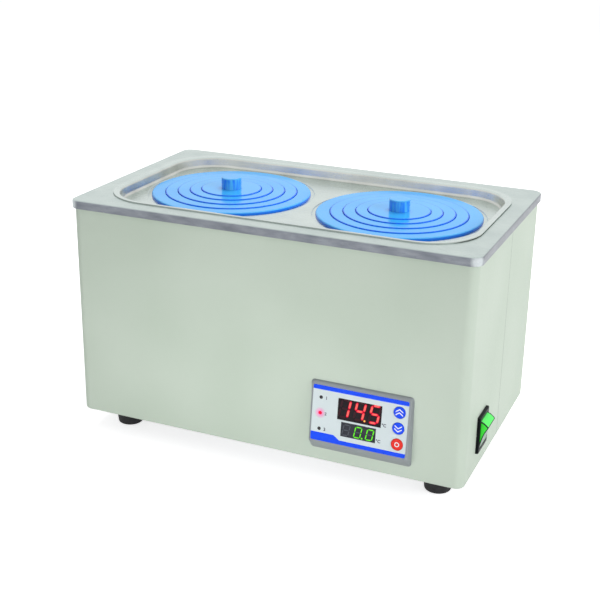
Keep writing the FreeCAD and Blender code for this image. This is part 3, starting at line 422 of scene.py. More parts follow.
tray_low, tray_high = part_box("cover_tray")
tray_length = tray_high.x - tray_low.x
tray_width = tray_high.y - tray_low.y
tray_middle = middle_of("cover_tray")
tray_sheet = 0.8 * mm
tray_recess = 8.3 * mm
tray_wall_radius = 39.9 * mm
tray_flange_x = 5.7 * mm
tray_flange_y = 4.4 * mm
tray_flange_radius = 44 * mm
tray_lip = 2.4 * mm
tray_bend = 2.6 * mm
tray_draft = 1.4 * mm
flange_lift = 0.5 * mm
flange_lift_reach = 15 * mm
flange_lift_run = 8 * mm
seat_step = 0.8 * mm
seat_edge = 0.5 * mm
seat_foot = 0.3 * mm
seat_clearance = 3.05 * mm
hole_inset = 9.8 * mm
deck_z = rim_top - tray_recess
mouth_length = tray_length - 2 * tray_flange_x
mouth_width = tray_width - 2 * tray_flange_y

bm = bmesh.new()
wall = soften([(-tray_lip - mm, tray_high.z, 0), (0, tray_high.z, tray_lip),
               (tray_draft, deck_z, tray_bend), (tray_draft + tray_bend + mm, deck_z, 0)], closed=False)[1:-1]
sizes = [(tray_length, tray_width, tray_flange_radius, tray_high.z)]
sizes += [(mouth_length - 2 * inwards, mouth_width - 2 * inwards, tray_wall_radius - inwards, z)
          for inwards, z in wall]
loops = [add_loop(bm, corner_loop(*size, middle=tray_middle)) for size in sizes]
for vertex in loops[0]:
    from_end = min(tray_high.x - vertex.co.x, vertex.co.x - tray_low.x)
    vertex.co.z += flange_lift * min(1, max(0, (flange_lift_reach - from_end) / flange_lift_run))
bridge(bm, loops)
deck_edges = loop_edges(bm, loops[-1])
for node in ("left_ring_1", "right_ring_1"):
    x, y, _ = middle_of(node)
    seat_radius = radius_of(node) + seat_clearance
    step = soften([(seat_radius + 2 * mm, deck_z, 0), (seat_radius, deck_z, seat_edge),
                   (seat_radius, deck_z - seat_step, seat_foot),
                   (seat_radius - hole_inset, deck_z - seat_step, 0)], closed=False)[1:]
    rims = spin_loops(bm, step, x, y, 128)
    deck_edges += loop_edges(bm, rims[0])
    bridge(bm, rims)
fill_between(bm, deck_edges)
wall_foot = deck_z + 0.2 * mm
wall_head = rim_top - 0.05 * mm
for face in bm.faces:
    face.material_index = int(wall_foot < face.calc_center_median().z < wall_head)

tray_steel = new_stainless("tray_steel", (200, 211, 208), (208, 219, 215), 0.24, relief=0.05)
scratches = spread(tray_steel, add_grain(tray_steel, 3 * mm, 1.0, (14, 1, 1)), 0.66, 0.72)
emboss(tray_steel, scratches, 0.02 * mm, 0.2)
# The wall's steel is a rougher copy of the tray steel, painted a little darker as shade on the wall.
shaded_tray_wall_steel = new_stainless("shaded_tray_wall_steel", (192, 195, 190), (208, 211, 206), 0.3, relief=0.04)
cut_edge, _ = new_mottled("cut_edge", (198, 207, 203), (212, 219, 215), 0.6, 2 * mm)
finish_mesh("drop_in_tray", bm, [tray_steel, shaded_tray_wall_steel, cut_edge], "cover_tray", ["cover_tray"],
            tray_sheet)

# ------------------------ lid rings
# Four nested rings on each hole, each with a ledge inside that carries the next
# ring in, a little higher than itself. They are glossy sky blue, with their sides
# and top edges painted a deeper blue as shade, and the outermost has a rounded
# rim and a spigot that drops into the hole.

lid_blue, _ = new_mottled("lid_blue", (50, 176, 255), (66, 184, 255), 0.16, 40 * mm, 1.0, ends=soft_ends)
roughen(lid_blue, add_grain(lid_blue, 6 * mm), 0.12, 0.2)
emboss(lid_blue, add_grain(lid_blue, 7 * mm, 1.0), 0.03 * mm, 0.3)
# A second, deeper blue paints the sides and edges of the lids in shade.
shaded_side_blue, _ = new_mottled("shaded_side_blue", (0, 112, 250), (12, 136, 255), 0.2, 12 * mm)
roughen(shaded_side_blue, add_grain(shaded_side_blue, 6 * mm), 0.16, 0.26)


def deepen_sides(bm, height, x=0, y=0, radius=1):
    """Gives the faces below a height, or outside a radius, the second material of the piece, a painted shade.
    """
    for face in bm.faces:
        middle = face.calc_center_median()
        reach = math.hypot(middle.x - x, middle.y - y)
        face.material_index = int(middle.z < height or reach > radius)


ring_gap = 0.45 * mm
ring_flange = 2.4 * mm
ring_ledge = 1.8 * mm
ledge_width = 4.0 * mm
spigot_clearance = 0.4 * mm
spigot_width = 2.4 * mm
edge_band = 0.8 * mm
top_edge = 0.5 * mm
fine_edge = 0.2 * mm
rim_edge = 1.5 * mm
spigot_edge = 0.4 * mm
ring_side_start = 0.25 * mm
rim_side_start = 0.8 * mm


def flange_corners(outer, top, foot):
    """The outside of a lid from its top down: a flange with a soft edge, and the step under it."""
    flange_foot = top - ring_flange
    return [(outer - edge_band, top, 0), (outer, top, top_edge), (outer, flange_foot, 0),
            (outer - ledge_width, flange_foot, 0), (outer - ledge_width, foot, 0)]


for side in ("left", "right"):
    nodes = ["%s_ring_%d" % (side, number) for number in (1, 2, 3, 4)] + [side + "_lid_disc"]
    for number, (node, inner_node) in enumerate(zip(nodes, nodes[1:]), 1):
        low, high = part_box(node)
        x, y, _ = middle_of(node)
        outer = radius_of(node)
        inner = radius_of(inner_node) + ring_gap
        ledge_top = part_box(inner_node)[1].z - ring_flange
        ledge_foot = ledge_top - ring_ledge
        corners = [(inner - ledge_width, ledge_foot, 0), (inner - ledge_width, ledge_top, fine_edge),
                   (inner, ledge_top, 0), (inner, high.z, top_edge)]
        if number == 1:
            seat = deck_z - seat_step
            shoulder = outer + seat_clearance - hole_inset - spigot_clearance
            corners += [(outer, high.z, rim_edge), (outer, seat, fine_edge), (shoulder, seat, 0),
                        (shoulder, low.z, spigot_edge), (shoulder - spigot_width, low.z, spigot_edge),
                        (shoulder - spigot_width, ledge_foot, 0)]
        else:
            corners += flange_corners(outer, high.z, ledge_foot)
        bm = bmesh.new()
        spin(bm, soften(corners), x, y, 160)
        if number == 1:
            deepen_sides(bm, high.z - rim_side_start)
        else:
            deepen_sides(bm, high.z - ring_side_start, x, y, outer - edge_band)
        finish_mesh("%s_lid_ring_%d" % (side, number), bm, [lid_blue, shaded_side_blue], node, [node])

# ------------------------ centre lids
# The innermost lid is a stepped disc of the same blue steel, its edge painted in
# shade like the rings. Its solid moulded knob has sides painted a deeper blue as
# shade, with upright streaks of painted reflection, and is held by one screw from below.

disc_blue, _ = new_mottled("disc_blue", (50, 176, 255), (68, 186, 255), 0.06, 30 * mm, 1.0)
roughen(disc_blue, add_grain(disc_blue, 6 * mm), 0.04, 0.09)
shader_of(disc_blue).inputs["IOR"].default_value = 1.5
# The knob's sides are painted darker, with upright streaks that paint reflections.
knob_shade_and_reflections, _ = new_mottled("knob_shade_and_reflections", (34, 132, 255), (96, 204, 255), 0.14, 1.6 * mm,
                           stretch=(1, 1, 12), ends=(0.36, 0.64))
screw_hole = 2.1 * mm
knob_foot_edge = 0.2 * mm
knob_top_edge = 1.0 * mm
knob_side_start = 0.6 * mm
for side in ("left", "right"):
    disc = side + "_lid_disc"
    low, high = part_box(disc)
    x, y, _ = middle_of(disc)
    outer = radius_of(disc)
    corners = [(screw_hole, high.z, 0), *flange_corners(outer, high.z, low.z), (screw_hole, low.z, 0)]
    bm = bmesh.new()
    spin(bm, soften(corners), x, y, 128)
    deepen_sides(bm, high.z - ring_side_start, x, y, outer - edge_band)
    finish_mesh(side + "_centre_disc", bm, [disc_blue, shaded_side_blue], side + "_lid", [disc])
    knob = side + "_lid_knob"
    low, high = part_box(knob)
    outer = radius_of(knob)
    bm = bmesh.new()
    spin(bm, soften([(0, low.z, 0), (outer, low.z, knob_foot_edge), (outer, high.z, knob_top_edge),
                     (outer / 2, high.z, 0), (0, high.z, 0)], closed=False), x, y, 96, closed=False)
    deepen_sides(bm, high.z - knob_side_start)
    finish_mesh(side + "_centre_knob", bm, [lid_blue, knob_shade_and_reflections], side + "_lid", [knob])
dress(zinc_plate, "left_knob_screw", "right_knob_screw")

# ------------------------ controller housing
# A panel controller in grey moulded plastic. Its bezel is a wedge, so that the
# face leans back, and its body passes through the front of the casing and is
# held by two side clamps. A clipped cover closes the back.

face_tilt = math.radians(6.8)
face_up = Vector((0, math.sin(face_tilt), math.cos(face_tilt)))
face_out = Vector((0, -math.cos(face_tilt), math.sin(face_tilt)))
film_proud = 0.1 * mm
film_thickness = 0.4 * mm
face_middle = middle_of("controller_overlay") + face_out * (film_thickness / 2 - film_proud)


def on_face(across, up, out=0.0):
    """A point on the tilted face of the controller, or this far in front of it."""
    return face_middle + Vector((across, 0, 0)) + face_up * up + face_out * out


def face_place(point):
    """How far across and up the face a point of the frame lies."""
    offset = point - face_middle
    return offset.x, offset.dot(face_up)


def face_loop(length, height, radius, out):
    return [on_face(x, y, out) for x, y, _ in corner_loop(length, height, radius, 0, 6)]


housing_low, housing_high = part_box("controller_housing")
cover_low, cover_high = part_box("controller_rear_cover")
film_low, film_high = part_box("controller_overlay")
casing_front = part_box("front_shell")[0].y
bezel_length = housing_high.x - housing_low.x
bezel_height = housing_high.z - housing_low.z
bezel_taper_x = 2.8 * mm
bezel_taper_z = 8.8 * mm
bezel_face_length = bezel_length - bezel_taper_x
bezel_face_height = bezel_height - bezel_taper_z
bezel_radius = 3.0 * mm
bezel_edge = 1.5 * mm
film_margin = 5.0 * mm
film_length = film_high.x - film_low.x
film_height = bezel_face_height - film_margin
film_radius = 1.2 * mm
recess_length = film_length + 0.2 * mm
recess_height = film_height + 0.2 * mm
recess_out = film_proud - film_thickness
face_wall = 2.4 * mm
inside_y = casing_front + face_wall
body_wall = 1.6 * mm
body_radius = 0.5 * mm
body_length = cover_high.x - cover_low.x
body_height = cover_high.z - cover_low.z
body_middle = (housing_low + housing_high) / 2
cover_lap = 3.0 * mm
cover_front = cover_low.y + cover_lap


def upright_loop(length, height, radius, y):
    """An upright rectangle with rounded corners, round the middle of the housing at this depth."""
    points = corner_loop(length, height, radius, 0, 6)
    return [(body_middle.x + u, y, body_middle.z + v) for u, v, _ in points]


key_nodes = ["key_up", "key_down", "key_set"]
key_radius = 4.8 * mm
key_hole_radius = key_radius + 0.25 * mm
lamp_radius = 1.5 * mm
lamp_hole_radius = lamp_radius + 0.1 * mm
display_margin = 0.3 * mm
display_clearance = 0.15 * mm
display_depth = 7.0 * mm


def window_size(node):
    """Length and height of the window over a display, without the margin under the film."""
    low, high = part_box(node)
    height = (high.z - low.z - display_depth * math.sin(face_tilt)) / math.cos(face_tilt)
    return high.x - low.x - 2 * display_margin, height - 2 * display_margin


def face_ring(across, up, radius, out, steps=48):
    """A circle on the face."""
    return [on_face(across + u, up + v, out) for u, v in circle(radius, steps)]


def face_window(across, up, length, height, out):
    corners = ((-1, -1), (1, -1), (1, 1), (-1, 1))
    return [on_face(across + sx * length / 2, up + sy * height / 2, out) for sx, sy in corners]


key_places = [face_place(middle_of(node)) for node in key_nodes]
lamp_low, lamp_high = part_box("indicator_lamps")
lamp_across = (lamp_low.x + lamp_high.x) / 2 - face_middle.x
windows = []
for node in ("pv_display", "sv_display"):
    across, up = face_place(middle_of(node))
    windows.append((across, up, *window_size(node)))


def face_openings(margin, lamp_hole, out):
    """The outlines of the openings for both displays, the three keys and the three lamps."""
    outlines = [face_window(across, up, length + 2 * margin, height + 2 * margin, out)
                for across, up, length, height in windows]
    outlines += [face_ring(across, up, key_hole_radius, out) for across, up in key_places]
    return outlines + [face_ring(lamp_across, up, lamp_hole, out, 32) for _, up in key_places]


grey_plastic, plastic_grain = new_mottled("grey_plastic", (136, 143, 148), (154, 159, 163), 0.42, 0.5 * mm)
emboss(grey_plastic, plastic_grain, 0.04 * mm, 0.3)

bm = bmesh.new()
recess = [add_loop(bm, face_loop(recess_length, recess_height, film_radius, out))
          for out in (recess_out, 0.0)]
face_edge = add_loop(bm, face_loop(bezel_face_length, bezel_face_height, bezel_radius, 0.0))
base_edge = add_loop(bm, upright_loop(bezel_length, bezel_height, bezel_radius, casing_front))
body_loops = [add_loop(bm, upright_loop(body_length - 2 * wall, body_height - 2 * wall, body_radius, y))
              for wall, y in ((0, casing_front), (0, cover_front), (body_wall, cover_front),
                              (body_wall, inside_y))]
bridge(bm, recess + [face_edge, base_edge] + body_loops)
floor_edges = loop_edges(bm, recess[0])
inside_edges = loop_edges(bm, body_loops[-1])
for outline in face_openings(display_margin + display_clearance, lamp_hole_radius, recess_out):
    inner = [point - face_out * ((inside_y - point.y) / math.cos(face_tilt)) for point in outline]
    hole = [add_loop(bm, outline), add_loop(bm, inner)]
    bridge(bm, hole)
    floor_edges += loop_edges(bm, hole[0])
    inside_edges += loop_edges(bm, hole[1])
fill_between(bm, floor_edges)
fill_between(bm, inside_edges)
bmesh.ops.bevel(bm, geom=loop_edges(bm, face_edge), offset=bezel_edge, segments=5, profile=0.5,
                affect="EDGES", clamp_overlap=True)
finish_mesh("controller_bezel", bm, [grey_plastic], "cabinet", ["controller_housing"])
dress(grey_plastic, "controller_rear_cover")

# ------------------------ face film
# A printed polyester film lies in a shallow recess of the bezel. It is white,
# with a blue band along the top and a blue band with a raised left end along
# the bottom, and it is cut out over the displays, the lamps and the keys.


def dim_gloss(material, level):
    """Weakens the mirror gloss of a printed or dark surface."""
    shader_of(material).inputs["Specular IOR Level"].default_value = level


white_film, film_grain = new_mottled("white_film", (209, 221, 224), (216, 227, 230), 0.35, 0.4 * mm, 1.0)
roughen(white_film, film_grain, 0.3, 0.4)
print_gloss = 0.25
blue_print, _ = new_mottled("blue_print", (8, 68, 248), (22, 86, 252), 0.35, 3 * mm, 1.0)
dim_gloss(blue_print, print_gloss)

bm = bmesh.new()
outlines = [face_loop(film_length, film_height, film_radius, film_proud)]
outlines += face_openings(0, lamp_radius, film_proud)
film_edges = []
for points in outlines:
    film_edges += loop_edges(bm, add_loop(bm, points))
fill_between(bm, film_edges)
finish_mesh("face_film", bm, [white_film], "cabinet", ["controller_overlay"], film_thickness)

ink_lift = 0.02 * mm
band_height = 3.5 * mm
tab_height = 7.0 * mm
tab_foot_length = 24.5 * mm
tab_top_length = 19.5 * mm
tab_edge = 1.0 * mm


def print_on_face(name, outline, material, out=film_proud + ink_lift):
    """A flat printed shape, outlined by (across, up) points, just proud of the film."""
    bm = bmesh.new()
    bm.faces.new(add_loop(bm, [on_face(across, up, out) for across, up in outline]))
    bmesh.ops.triangulate(bm, faces=bm.faces)
    return finish_mesh(name, bm, [material], "cabinet", ())


half_length = film_length / 2
half_height = film_height / 2
top_band = soften([(-half_length, half_height, film_radius), (-half_length, half_height - band_height, 0),
                   (half_length, half_height - band_height, 0), (half_length, half_height, film_radius)])
print_on_face("print_top_band", top_band, blue_print)
foot_band = soften([(-half_length, -half_height, film_radius), (half_length, -half_height, film_radius),
                    (half_length, -half_height + band_height, 0),
                    (-half_length + tab_foot_length, -half_height + band_height, tab_edge),
                    (-half_length + tab_top_length, -half_height + tab_height, tab_edge),
                    (-half_length, -half_height + tab_height, 0)])
print_on_face("print_foot_band", foot_band, blue_print)

# ------------------------ displays
# Two seven-segment displays behind dark windows: three red digits with a point
# above, and three smaller green ones with a point below, the first of which is
# off. The bars lean to the right, and those that are off show faintly.

tinted_gloss = 0.15


def new_window(name, dark, pale):
    """A dark tinted pane."""
    material, grain = new_mottled(name, dark, pale, 0.2, 8 * mm, 1.0)
    roughen(material, grain, 0.14, 0.24)
    dim_gloss(material, tinted_gloss)
    return material


def shine(material, colour, strength):
    """Lets a finish give off light of its own."""
    shader_of(material).inputs["Emission Color"].default_value = colour
    shader_of(material).inputs["Emission Strength"].default_value = strength


def new_glow(name, colour, strength):
    """A light of one colour behind a dark tinted lens."""
    material = new_finish(name, colour, 0.4)
    dark = (*[0.1 * c for c in colour[:3]], 1)
    pale = (*[1.6 * c for c in dark[:3]], 1)
    paint(material, mix_colours(material, add_grain(material, 1.2 * mm, 1.0), dark, pale))
    shine(material, colour, strength)
    dim_gloss(material, tinted_gloss)
    return material


def new_dim(name, dark, pale):
    """A bar that is off, a little paler than the window that it lies behind."""
    material, _ = new_mottled(name, dark, pale, 0.4, 2 * mm)
    dim_gloss(material, tinted_gloss)
    return material


window_black = new_window("window_black", (14, 8, 12), (34, 20, 30))
window_grey = new_window("window_grey", (40, 42, 48), (62, 64, 74))
segment_off = new_dim("segment_off", (44, 16, 24), (60, 24, 34))
green_off = new_dim("green_off", (72, 76, 84), (84, 90, 98))
red_halo = new_glow("red_halo", screen(180, 2, 26), 0.9)
red_body = new_glow("red_body", screen(255, 30, 76), 1.0)
red_core = new_glow("red_core", screen(255, 112, 98), 1.0)
point_core = new_glow("point_core", screen(255, 214, 96), 1.0)
green_halo = new_glow("green_halo", screen(40, 110, 30), 0.8)
green_core = new_glow("green_core", screen(104, 240, 34), 1.0)

segment_lean = math.tan(math.radians(10))
lit_segments = {" ": "", "0": "abcdef", "1": "bc", "4": "bcfg", "5": "acdfg"}


def segment_outlines(width, height, half):
    """The seven bars of one digit by letter, as points round the digit's middle."""
    right, top = width / 2, height / 2
    flat = [(-right + half, 0), (-right + 2 * half, half), (right - 2 * half, half),
            (right - half, 0), (right - 2 * half, -half), (-right + 2 * half, -half)]
    upright = [(0, 0.6 * half), (half, 1.6 * half), (half, top - 1.6 * half),
               (0, top - 0.6 * half), (-half, top - 1.6 * half), (-half, 1.6 * half)]
    places = {"a": (0, top), "g": (0, 0), "d": (0, -top),
              "b": (right, 0), "c": (right, -top), "f": (-right, 0), "e": (-right, -top)}
    return {letter: [(x + dx, y + dy) for x, y in (flat if letter in "agd" else upright)]
            for letter, (dx, dy) in places.items()}


def widen(outline, distance):
    """Moves each point of an outline away from its middle, or towards it."""
    middle = sum((Vector(point) for point in outline), Vector((0, 0))) / len(outline)
    return [tuple(Vector(point) + (Vector(point) - middle).normalized() * distance) for point in outline]


def light_up(name, outline, layers):
    """Layers of light on the glass from the widest up, each a (distance, finish) round the outline."""
    for level, (distance, finish) in enumerate(layers, 1):
        print_on_face("%s_%d" % (name, level), widen(outline, distance), finish,
                      display_out + level * ink_lift)


def digit(name, figure, across, up, size, layers, off):
    """One leaning digit. Its size is its width, its height and half the width of a bar."""
    for letter, outline in segment_outlines(*size).items():
        placed = [(across + x + y * segment_lean, up + y) for x, y in outline]
        if letter in lit_segments[figure]:
            light_up(name + "_light_" + letter, placed, layers)
        else:
            print_on_face(name + "_bar_" + letter, placed, off, display_out)


def decimal_point(name, across, up, layers):
    light_up(name, [(across + u, up + v) for u, v in circle(point_radius, 20)], layers)


display_out = recess_out + ink_lift
glass_radius = 0.4 * mm
glasses = (window_black, window_grey)
for node, (across, up, length, height), glass in zip(("pv_display", "sv_display"), windows, glasses):
    points = corner_loop(length + 2 * display_margin, height + 2 * display_margin, glass_radius, 0, 3)
    bm = bmesh.new()
    loops = [add_loop(bm, [on_face(across + u, up + v, out) for u, v, _ in points])
             for out in (recess_out - display_depth, recess_out)]
    bridge(bm, loops)
    bm.faces.new(loops[0])
    bm.faces.new(loops[1])
    finish_mesh(node.replace("display", "display_window"), bm, [glass], "cabinet", [node])

red_layers = [(0.6 * mm, red_halo), (0.2 * mm, red_body), (-0.55 * mm, red_core)]
green_layers = [(0.2 * mm, green_halo), (0, green_core)]
point_radius = 0.7 * mm
pv_across, pv_up = windows[0][:2]
pv_pitch = 12.5 * mm
pv_rise = 0.85 * mm
pv_digit_size = (7.0 * mm, 14.2 * mm, 0.85 * mm)
pv_point_across = 4.5 * mm
pv_point_drop = 6.2 * mm
for place, figure in enumerate("145", 1):
    digit("pv_digit_%d" % place, figure, pv_across + (place - 2) * pv_pitch, pv_up + pv_rise,
          pv_digit_size, red_layers, segment_off)
decimal_point("pv_point", pv_across + pv_point_across, pv_up - pv_point_drop,
              [(0.4 * mm, red_halo), (0, point_core)])
sv_across, sv_up = windows[1][:2]
sv_pitch = 9.9 * mm
sv_shift = 0.3 * mm
sv_drop = 0.4 * mm
sv_digit_size = (5.2 * mm, 8.7 * mm, 0.42 * mm)
sv_point_across = 3.4 * mm
sv_point_drop = 4.7 * mm
for place, figure in enumerate(" 00", 1):
    digit("sv_digit_%d" % place, figure, sv_across - sv_shift + (place - 2) * sv_pitch, sv_up - sv_drop,
          sv_digit_size, green_layers, green_off)
decimal_point("sv_point", sv_across + sv_point_across, sv_up - sv_point_drop, green_layers[1:])

# ------------------------ lamps and marks
# Three small lamps stand through the film at the left, numbered 1 to 3, and
# the second one is lit. A degree sign and a C stand beside each display.

lamp_dark, _ = new_mottled("lamp_dark", (24, 22, 28), (40, 36, 44), 0.2, 1 * mm)
lamp_lit = new_glow("lamp_lit", screen(236, 20, 60), 1.0)
ink, _ = new_mottled("ink", (34, 36, 58), (50, 52, 78), 0.5, 1 * mm)
letter_scale = 1.4
letter_weight = 0.12 * mm


def face_spin(name, across, up, profile, material, body, stands_for, steps=40):
    """A turned piece on the face: (radius, out) points from its edge to its middle."""
    bm = bmesh.new()
    loops = [add_loop(bm, face_ring(across, up, max(radius, 1e-7), out, steps)) for radius, out in profile]
    bridge(bm, loops)
    return finish_mesh(name, bm, [material], body, stands_for)


def face_text(name, words, across, up, height, material):
    """Printed characters, centred on a point of the face."""
    curve = bpy.data.curves.new(name, "FONT")
    curve.body = words
    curve.size = height * letter_scale
    curve.offset = letter_weight
    curve.align_x = "CENTER"
    curve.align_y = "CENTER"
    text = new_object(name, curve)
    mesh = bpy.data.meshes.new_from_object(text)
    bpy.data.objects.remove(text)
    for vertex in mesh.vertices:
        vertex.co = on_face(across + vertex.co.x, up + vertex.co.y, film_proud + ink_lift)
    piece = new_object(name, mesh)
    mesh.materials.clear()
    mesh.materials.append(material)
    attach(piece, "cabinet")


bloom_radius = 4.6 * mm
number_across = 4.6 * mm
number_drop = 0.2 * mm
number_height = 2.6 * mm
lamp_profile = [(lamp_radius, recess_out - display_depth), (lamp_radius, film_proud),
                (lamp_radius * 0.8, film_proud), (lamp_radius * 0.4, film_proud), (0, film_proud)]
for number, (_, up) in enumerate(key_places, 1):
    lit = number == 2
    face_spin("lamp_%d" % number, lamp_across, up, lamp_profile, lamp_lit if lit else lamp_dark,
                           "cabinet", ())
    if lit:
        lamp_bloom = new_finish("lamp_bloom", screen(252, 190, 216), 0.5)
        lamp_light = closeness(lamp_bloom, on_face(lamp_across, up), lamp_radius, bloom_radius)
        paint(lamp_bloom, mix_colours(lamp_bloom, lamp_light, screen(209, 220, 223), screen(255, 146, 206)))
        face_spin("lamp_bloom", lamp_across, up,
                  [(bloom_radius, film_proud + ink_lift), (lamp_radius, film_proud + ink_lift)],
                  lamp_bloom, "cabinet", ())
    face_text("lamp_number_%d" % number, str(number), lamp_across + number_across, up - number_drop,
              number_height, ink)
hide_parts("indicator_lamps")
degree_gap = 2.4 * mm
degree_height = 2.5 * mm
for name, (across, up, length, _), drop in (("pv_degrees", windows[0], 6.5 * mm),
                                            ("sv_degrees", windows[1], 4.0 * mm)):
    face_text(name, "°C", across + length / 2 + degree_gap, up - drop, degree_height, ink)

# ------------------------ keys
# Three round moulded keys with a softened edge: blue ones with white double
# chevrons to go up and down, and a red one with a white ring. Each moves
# straight in against a small switch on the circuit board.

key_blue, _ = new_mottled("key_blue", (8, 68, 248), (24, 88, 252), 0.3, 2 * mm)
dim_gloss(key_blue, print_gloss)
key_red, _ = new_mottled("key_red", (230, 34, 26), (238, 56, 46), 0.3, 2 * mm)
dim_gloss(key_red, print_gloss)
key_white, _ = new_mottled("key_white", (238, 241, 248), (250, 251, 253), 0.4, 1 * mm)

key_back = -3.6 * mm
key_top = 0.5 * mm
key_edge = 0.4 * mm
key_flange_radius = key_radius + 1.0 * mm
key_flange_front = key_back + 0.9 * mm
key_profile = soften([(key_flange_radius, key_back, 0), (key_flange_radius, key_flange_front, 0),
                      (key_radius, key_flange_front, 0), (key_radius, key_top, key_edge),
                      (key_radius / 2, key_top, 0), (0, key_top, 0)], closed=False)
key_profile = [Vector((0, key_back))] + key_profile
mark_out = key_top + ink_lift
ring_mark = [(2.0 * mm, mark_out), (1.3 * mm, mark_out)]
chevron_apexes = (3.1 * mm, 0.5 * mm)
chevron_wing = 3.0 * mm
chevron_rise = 2.1 * mm
chevron_stroke = 1.0 * mm
for node, (across, up) in zip(key_nodes, key_places):
    if node == "key_set":
        face_spin(node + "_cap", across, up, key_profile, key_red, node, [node], 64)
        face_spin(node + "_ring", across, up, ring_mark, key_white, node, ())
        continue
    face_spin(node + "_cap", across, up, key_profile, key_blue, node, [node], 64)
    way = 1 if node == "key_up" else -1
    for number, apex in enumerate(chevron_apexes, 1):
        chevron = [(-chevron_wing, apex - chevron_rise), (0, apex), (chevron_wing, apex - chevron_rise),
                   (chevron_wing, apex - chevron_rise - chevron_stroke), (0, apex - chevron_stroke),
                   (-chevron_wing, apex - chevron_rise - chevron_stroke)]
        outline = [(across + x, up + way * y) for x, y in chevron]
        piece = print_on_face("%s_chevron_%d" % (node, number), outline, key_white, mark_out)
        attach(piece, node)

# ------------------------ inside the controller
# Behind the face are a green circuit board with three small push switches,
# and on the back cover a row of screw terminals. Two clamps pull the bezel
# against the casing.

board_green, _ = new_mottled("board_green", (18, 88, 50), (44, 128, 80), 0.4, 3 * mm, 1.0,
                             (1, 6, 1), (0.45, 0.55))
dress(board_green, "controller_board")

black_nylon, nylon_grain = new_mottled("black_nylon", (30, 30, 32), (46, 46, 48), 0.4, 0.8 * mm)
emboss(black_nylon, nylon_grain, 0.04 * mm, 0.4)
dress(black_nylon, "key_switches", "controller_clamps", "controller_terminals", "terminal_block")

# ------------------------ rocker switch
# A lit rocker switch in the right side: a black snap-in body with a bevelled
# frame, and a clear green rocker with a dished face that turns on a steel pin.

switch_black, switch_grain = new_mottled("switch_black", (8, 12, 15), (16, 20, 25), 0.35, 1.2 * mm)
roughen(switch_black, switch_grain, 0.3, 0.42)
dim_gloss(switch_black, 0.1)
dress(switch_black, "switch_body")
dress(zinc_plate, "switch_pin")

brass, _ = new_mottled("brass", (196, 160, 88), (226, 198, 128), 0.3, 3 * mm, metallic=1.0)
dress(brass, "switch_terminals", "earth_stud", "earth_nuts")

rocker_joint = next(j for j in frame["joints"] if j["name"] == "rocker_tilt")
rocker_pivot = Vector(rocker_joint["pos_m"])
rocker_low, rocker_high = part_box("switch_rocker")
rocker_radius = 11.99 * mm
rocker_face_angle = 54
rocker_lip_angle = rocker_face_angle + 3
rocker_back_angle = 100
rocker_dish = 1.1 * mm
rocker_rest_tilt = math.radians(18)
rocker_edge = 0.7 * mm
rocker_rib = 1.2 * mm


def new_green(name, dark, pale, glow):
    """Clear green plastic, lit from inside."""
    material, _ = new_mottled(name, dark, pale, 0.18, 4 * mm, 1.0)
    shine(material, screen(*pale), glow)
    return material


rocker_face_green = new_green("rocker_face_green", (60, 236, 84), (84, 250, 100), 0.12)
rocker_side_green = new_green("rocker_side_green", (40, 222, 40), (66, 238, 60), 0.2)
rocker_edge_green = new_green("rocker_edge_green", (6, 52, 28), (12, 68, 36), 0.0)
rocker_dish_green = new_green("rocker_dish_green", (98, 134, 114), (122, 156, 134), 0.0)
dim_gloss(rocker_dish_green, tinted_gloss)
dim_gloss(rocker_edge_green, tinted_gloss)


def rocker_point(angle):
    a = math.radians(angle)
    return Vector((rocker_radius * math.cos(a), rocker_radius * math.sin(a)))


dish_steps = 12
back_steps = 8
top_lip = rocker_point(rocker_face_angle)
dish_radius = (top_lip.y ** 2 + rocker_dish ** 2) / (2 * rocker_dish)
face_points = []
for k in range(dish_steps + 1):
    y = top_lip.y * (1 - 2 * k / dish_steps)
    sink = math.sqrt(dish_radius ** 2 - y ** 2) - (dish_radius - rocker_dish)
    face_points.append(Vector((top_lip.x - sink, y)))
end_angles = [rocker_face_angle]
end_angles += [rocker_lip_angle + (rocker_back_angle - rocker_lip_angle) * k / back_steps
               for k in range(back_steps + 1)]
foot_arc = [rocker_point(-a) for a in end_angles]
head_arc = [rocker_point(a) for a in reversed(end_angles)]
profile = face_points[:-1] + foot_arc + head_arc[:-1]
turned = [Matrix.Rotation(-rocker_rest_tilt, 2) @ p for p in profile]

face_finish, side_finish, edge_finish, dish_finish = range(4)
bm = bmesh.new()
rocker_loops = [add_loop(bm, [(rocker_pivot.x + p.x, y, rocker_pivot.z + p.y) for p in turned])
                for y in (rocker_low.y, rocker_low.y + rocker_rib, rocker_high.y - rocker_rib, rocker_high.y)]
strips = (edge_finish, face_finish, edge_finish)
for first, second, finish in zip(rocker_loops, rocker_loops[1:], strips):
    bridge(bm, [first, second], finish)
    bm.faces.ensure_lookup_table()
    bm.faces[-1].material_index = edge_finish
for face in bm.faces:
    reach = min(math.hypot(v.co.x - rocker_pivot.x, v.co.z - rocker_pivot.z) for v in face.verts)
    if face.material_index == face_finish and reach < rocker_radius - 1e-6:
        face.material_index = dish_finish
for loop in (rocker_loops[0], rocker_loops[-1]):
    side_face = bm.faces.new(loop)
    side_face.normal_update()
    for face in bmesh.ops.inset_individual(bm, faces=[side_face], thickness=rocker_edge)["faces"]:
        face.material_index = edge_finish
    side_face.material_index = side_finish
finish_mesh("green_rocker", bm, [rocker_face_green, rocker_side_green, rocker_edge_green, rocker_dish_green],
            "switch_rocker", ["switch_rocker"])

# ------------------------ mains entry and wiring
# The mains enters through a black cable gland at the back. Single wires join a
# terminal block on the base with the heater, the switch and the controller, and
# the probe with the controller. A brass earth stud stands on the base.

dress(black_nylon, "cord_gland", "gland_nut")
red_wire, _ = new_mottled("red_wire", (176, 28, 24), (204, 48, 40), 0.45, 5 * mm)
dress(red_wire, "heater_leads", "controller_leads", "switch_leads", "sensor_lead")

# ------------------------ studio
# A pale floor, a white surround and three soft lamps: a large one high on the
# right, one above and behind, and a weak low one in front. The lamps don't show
# to the eye or in reflections.

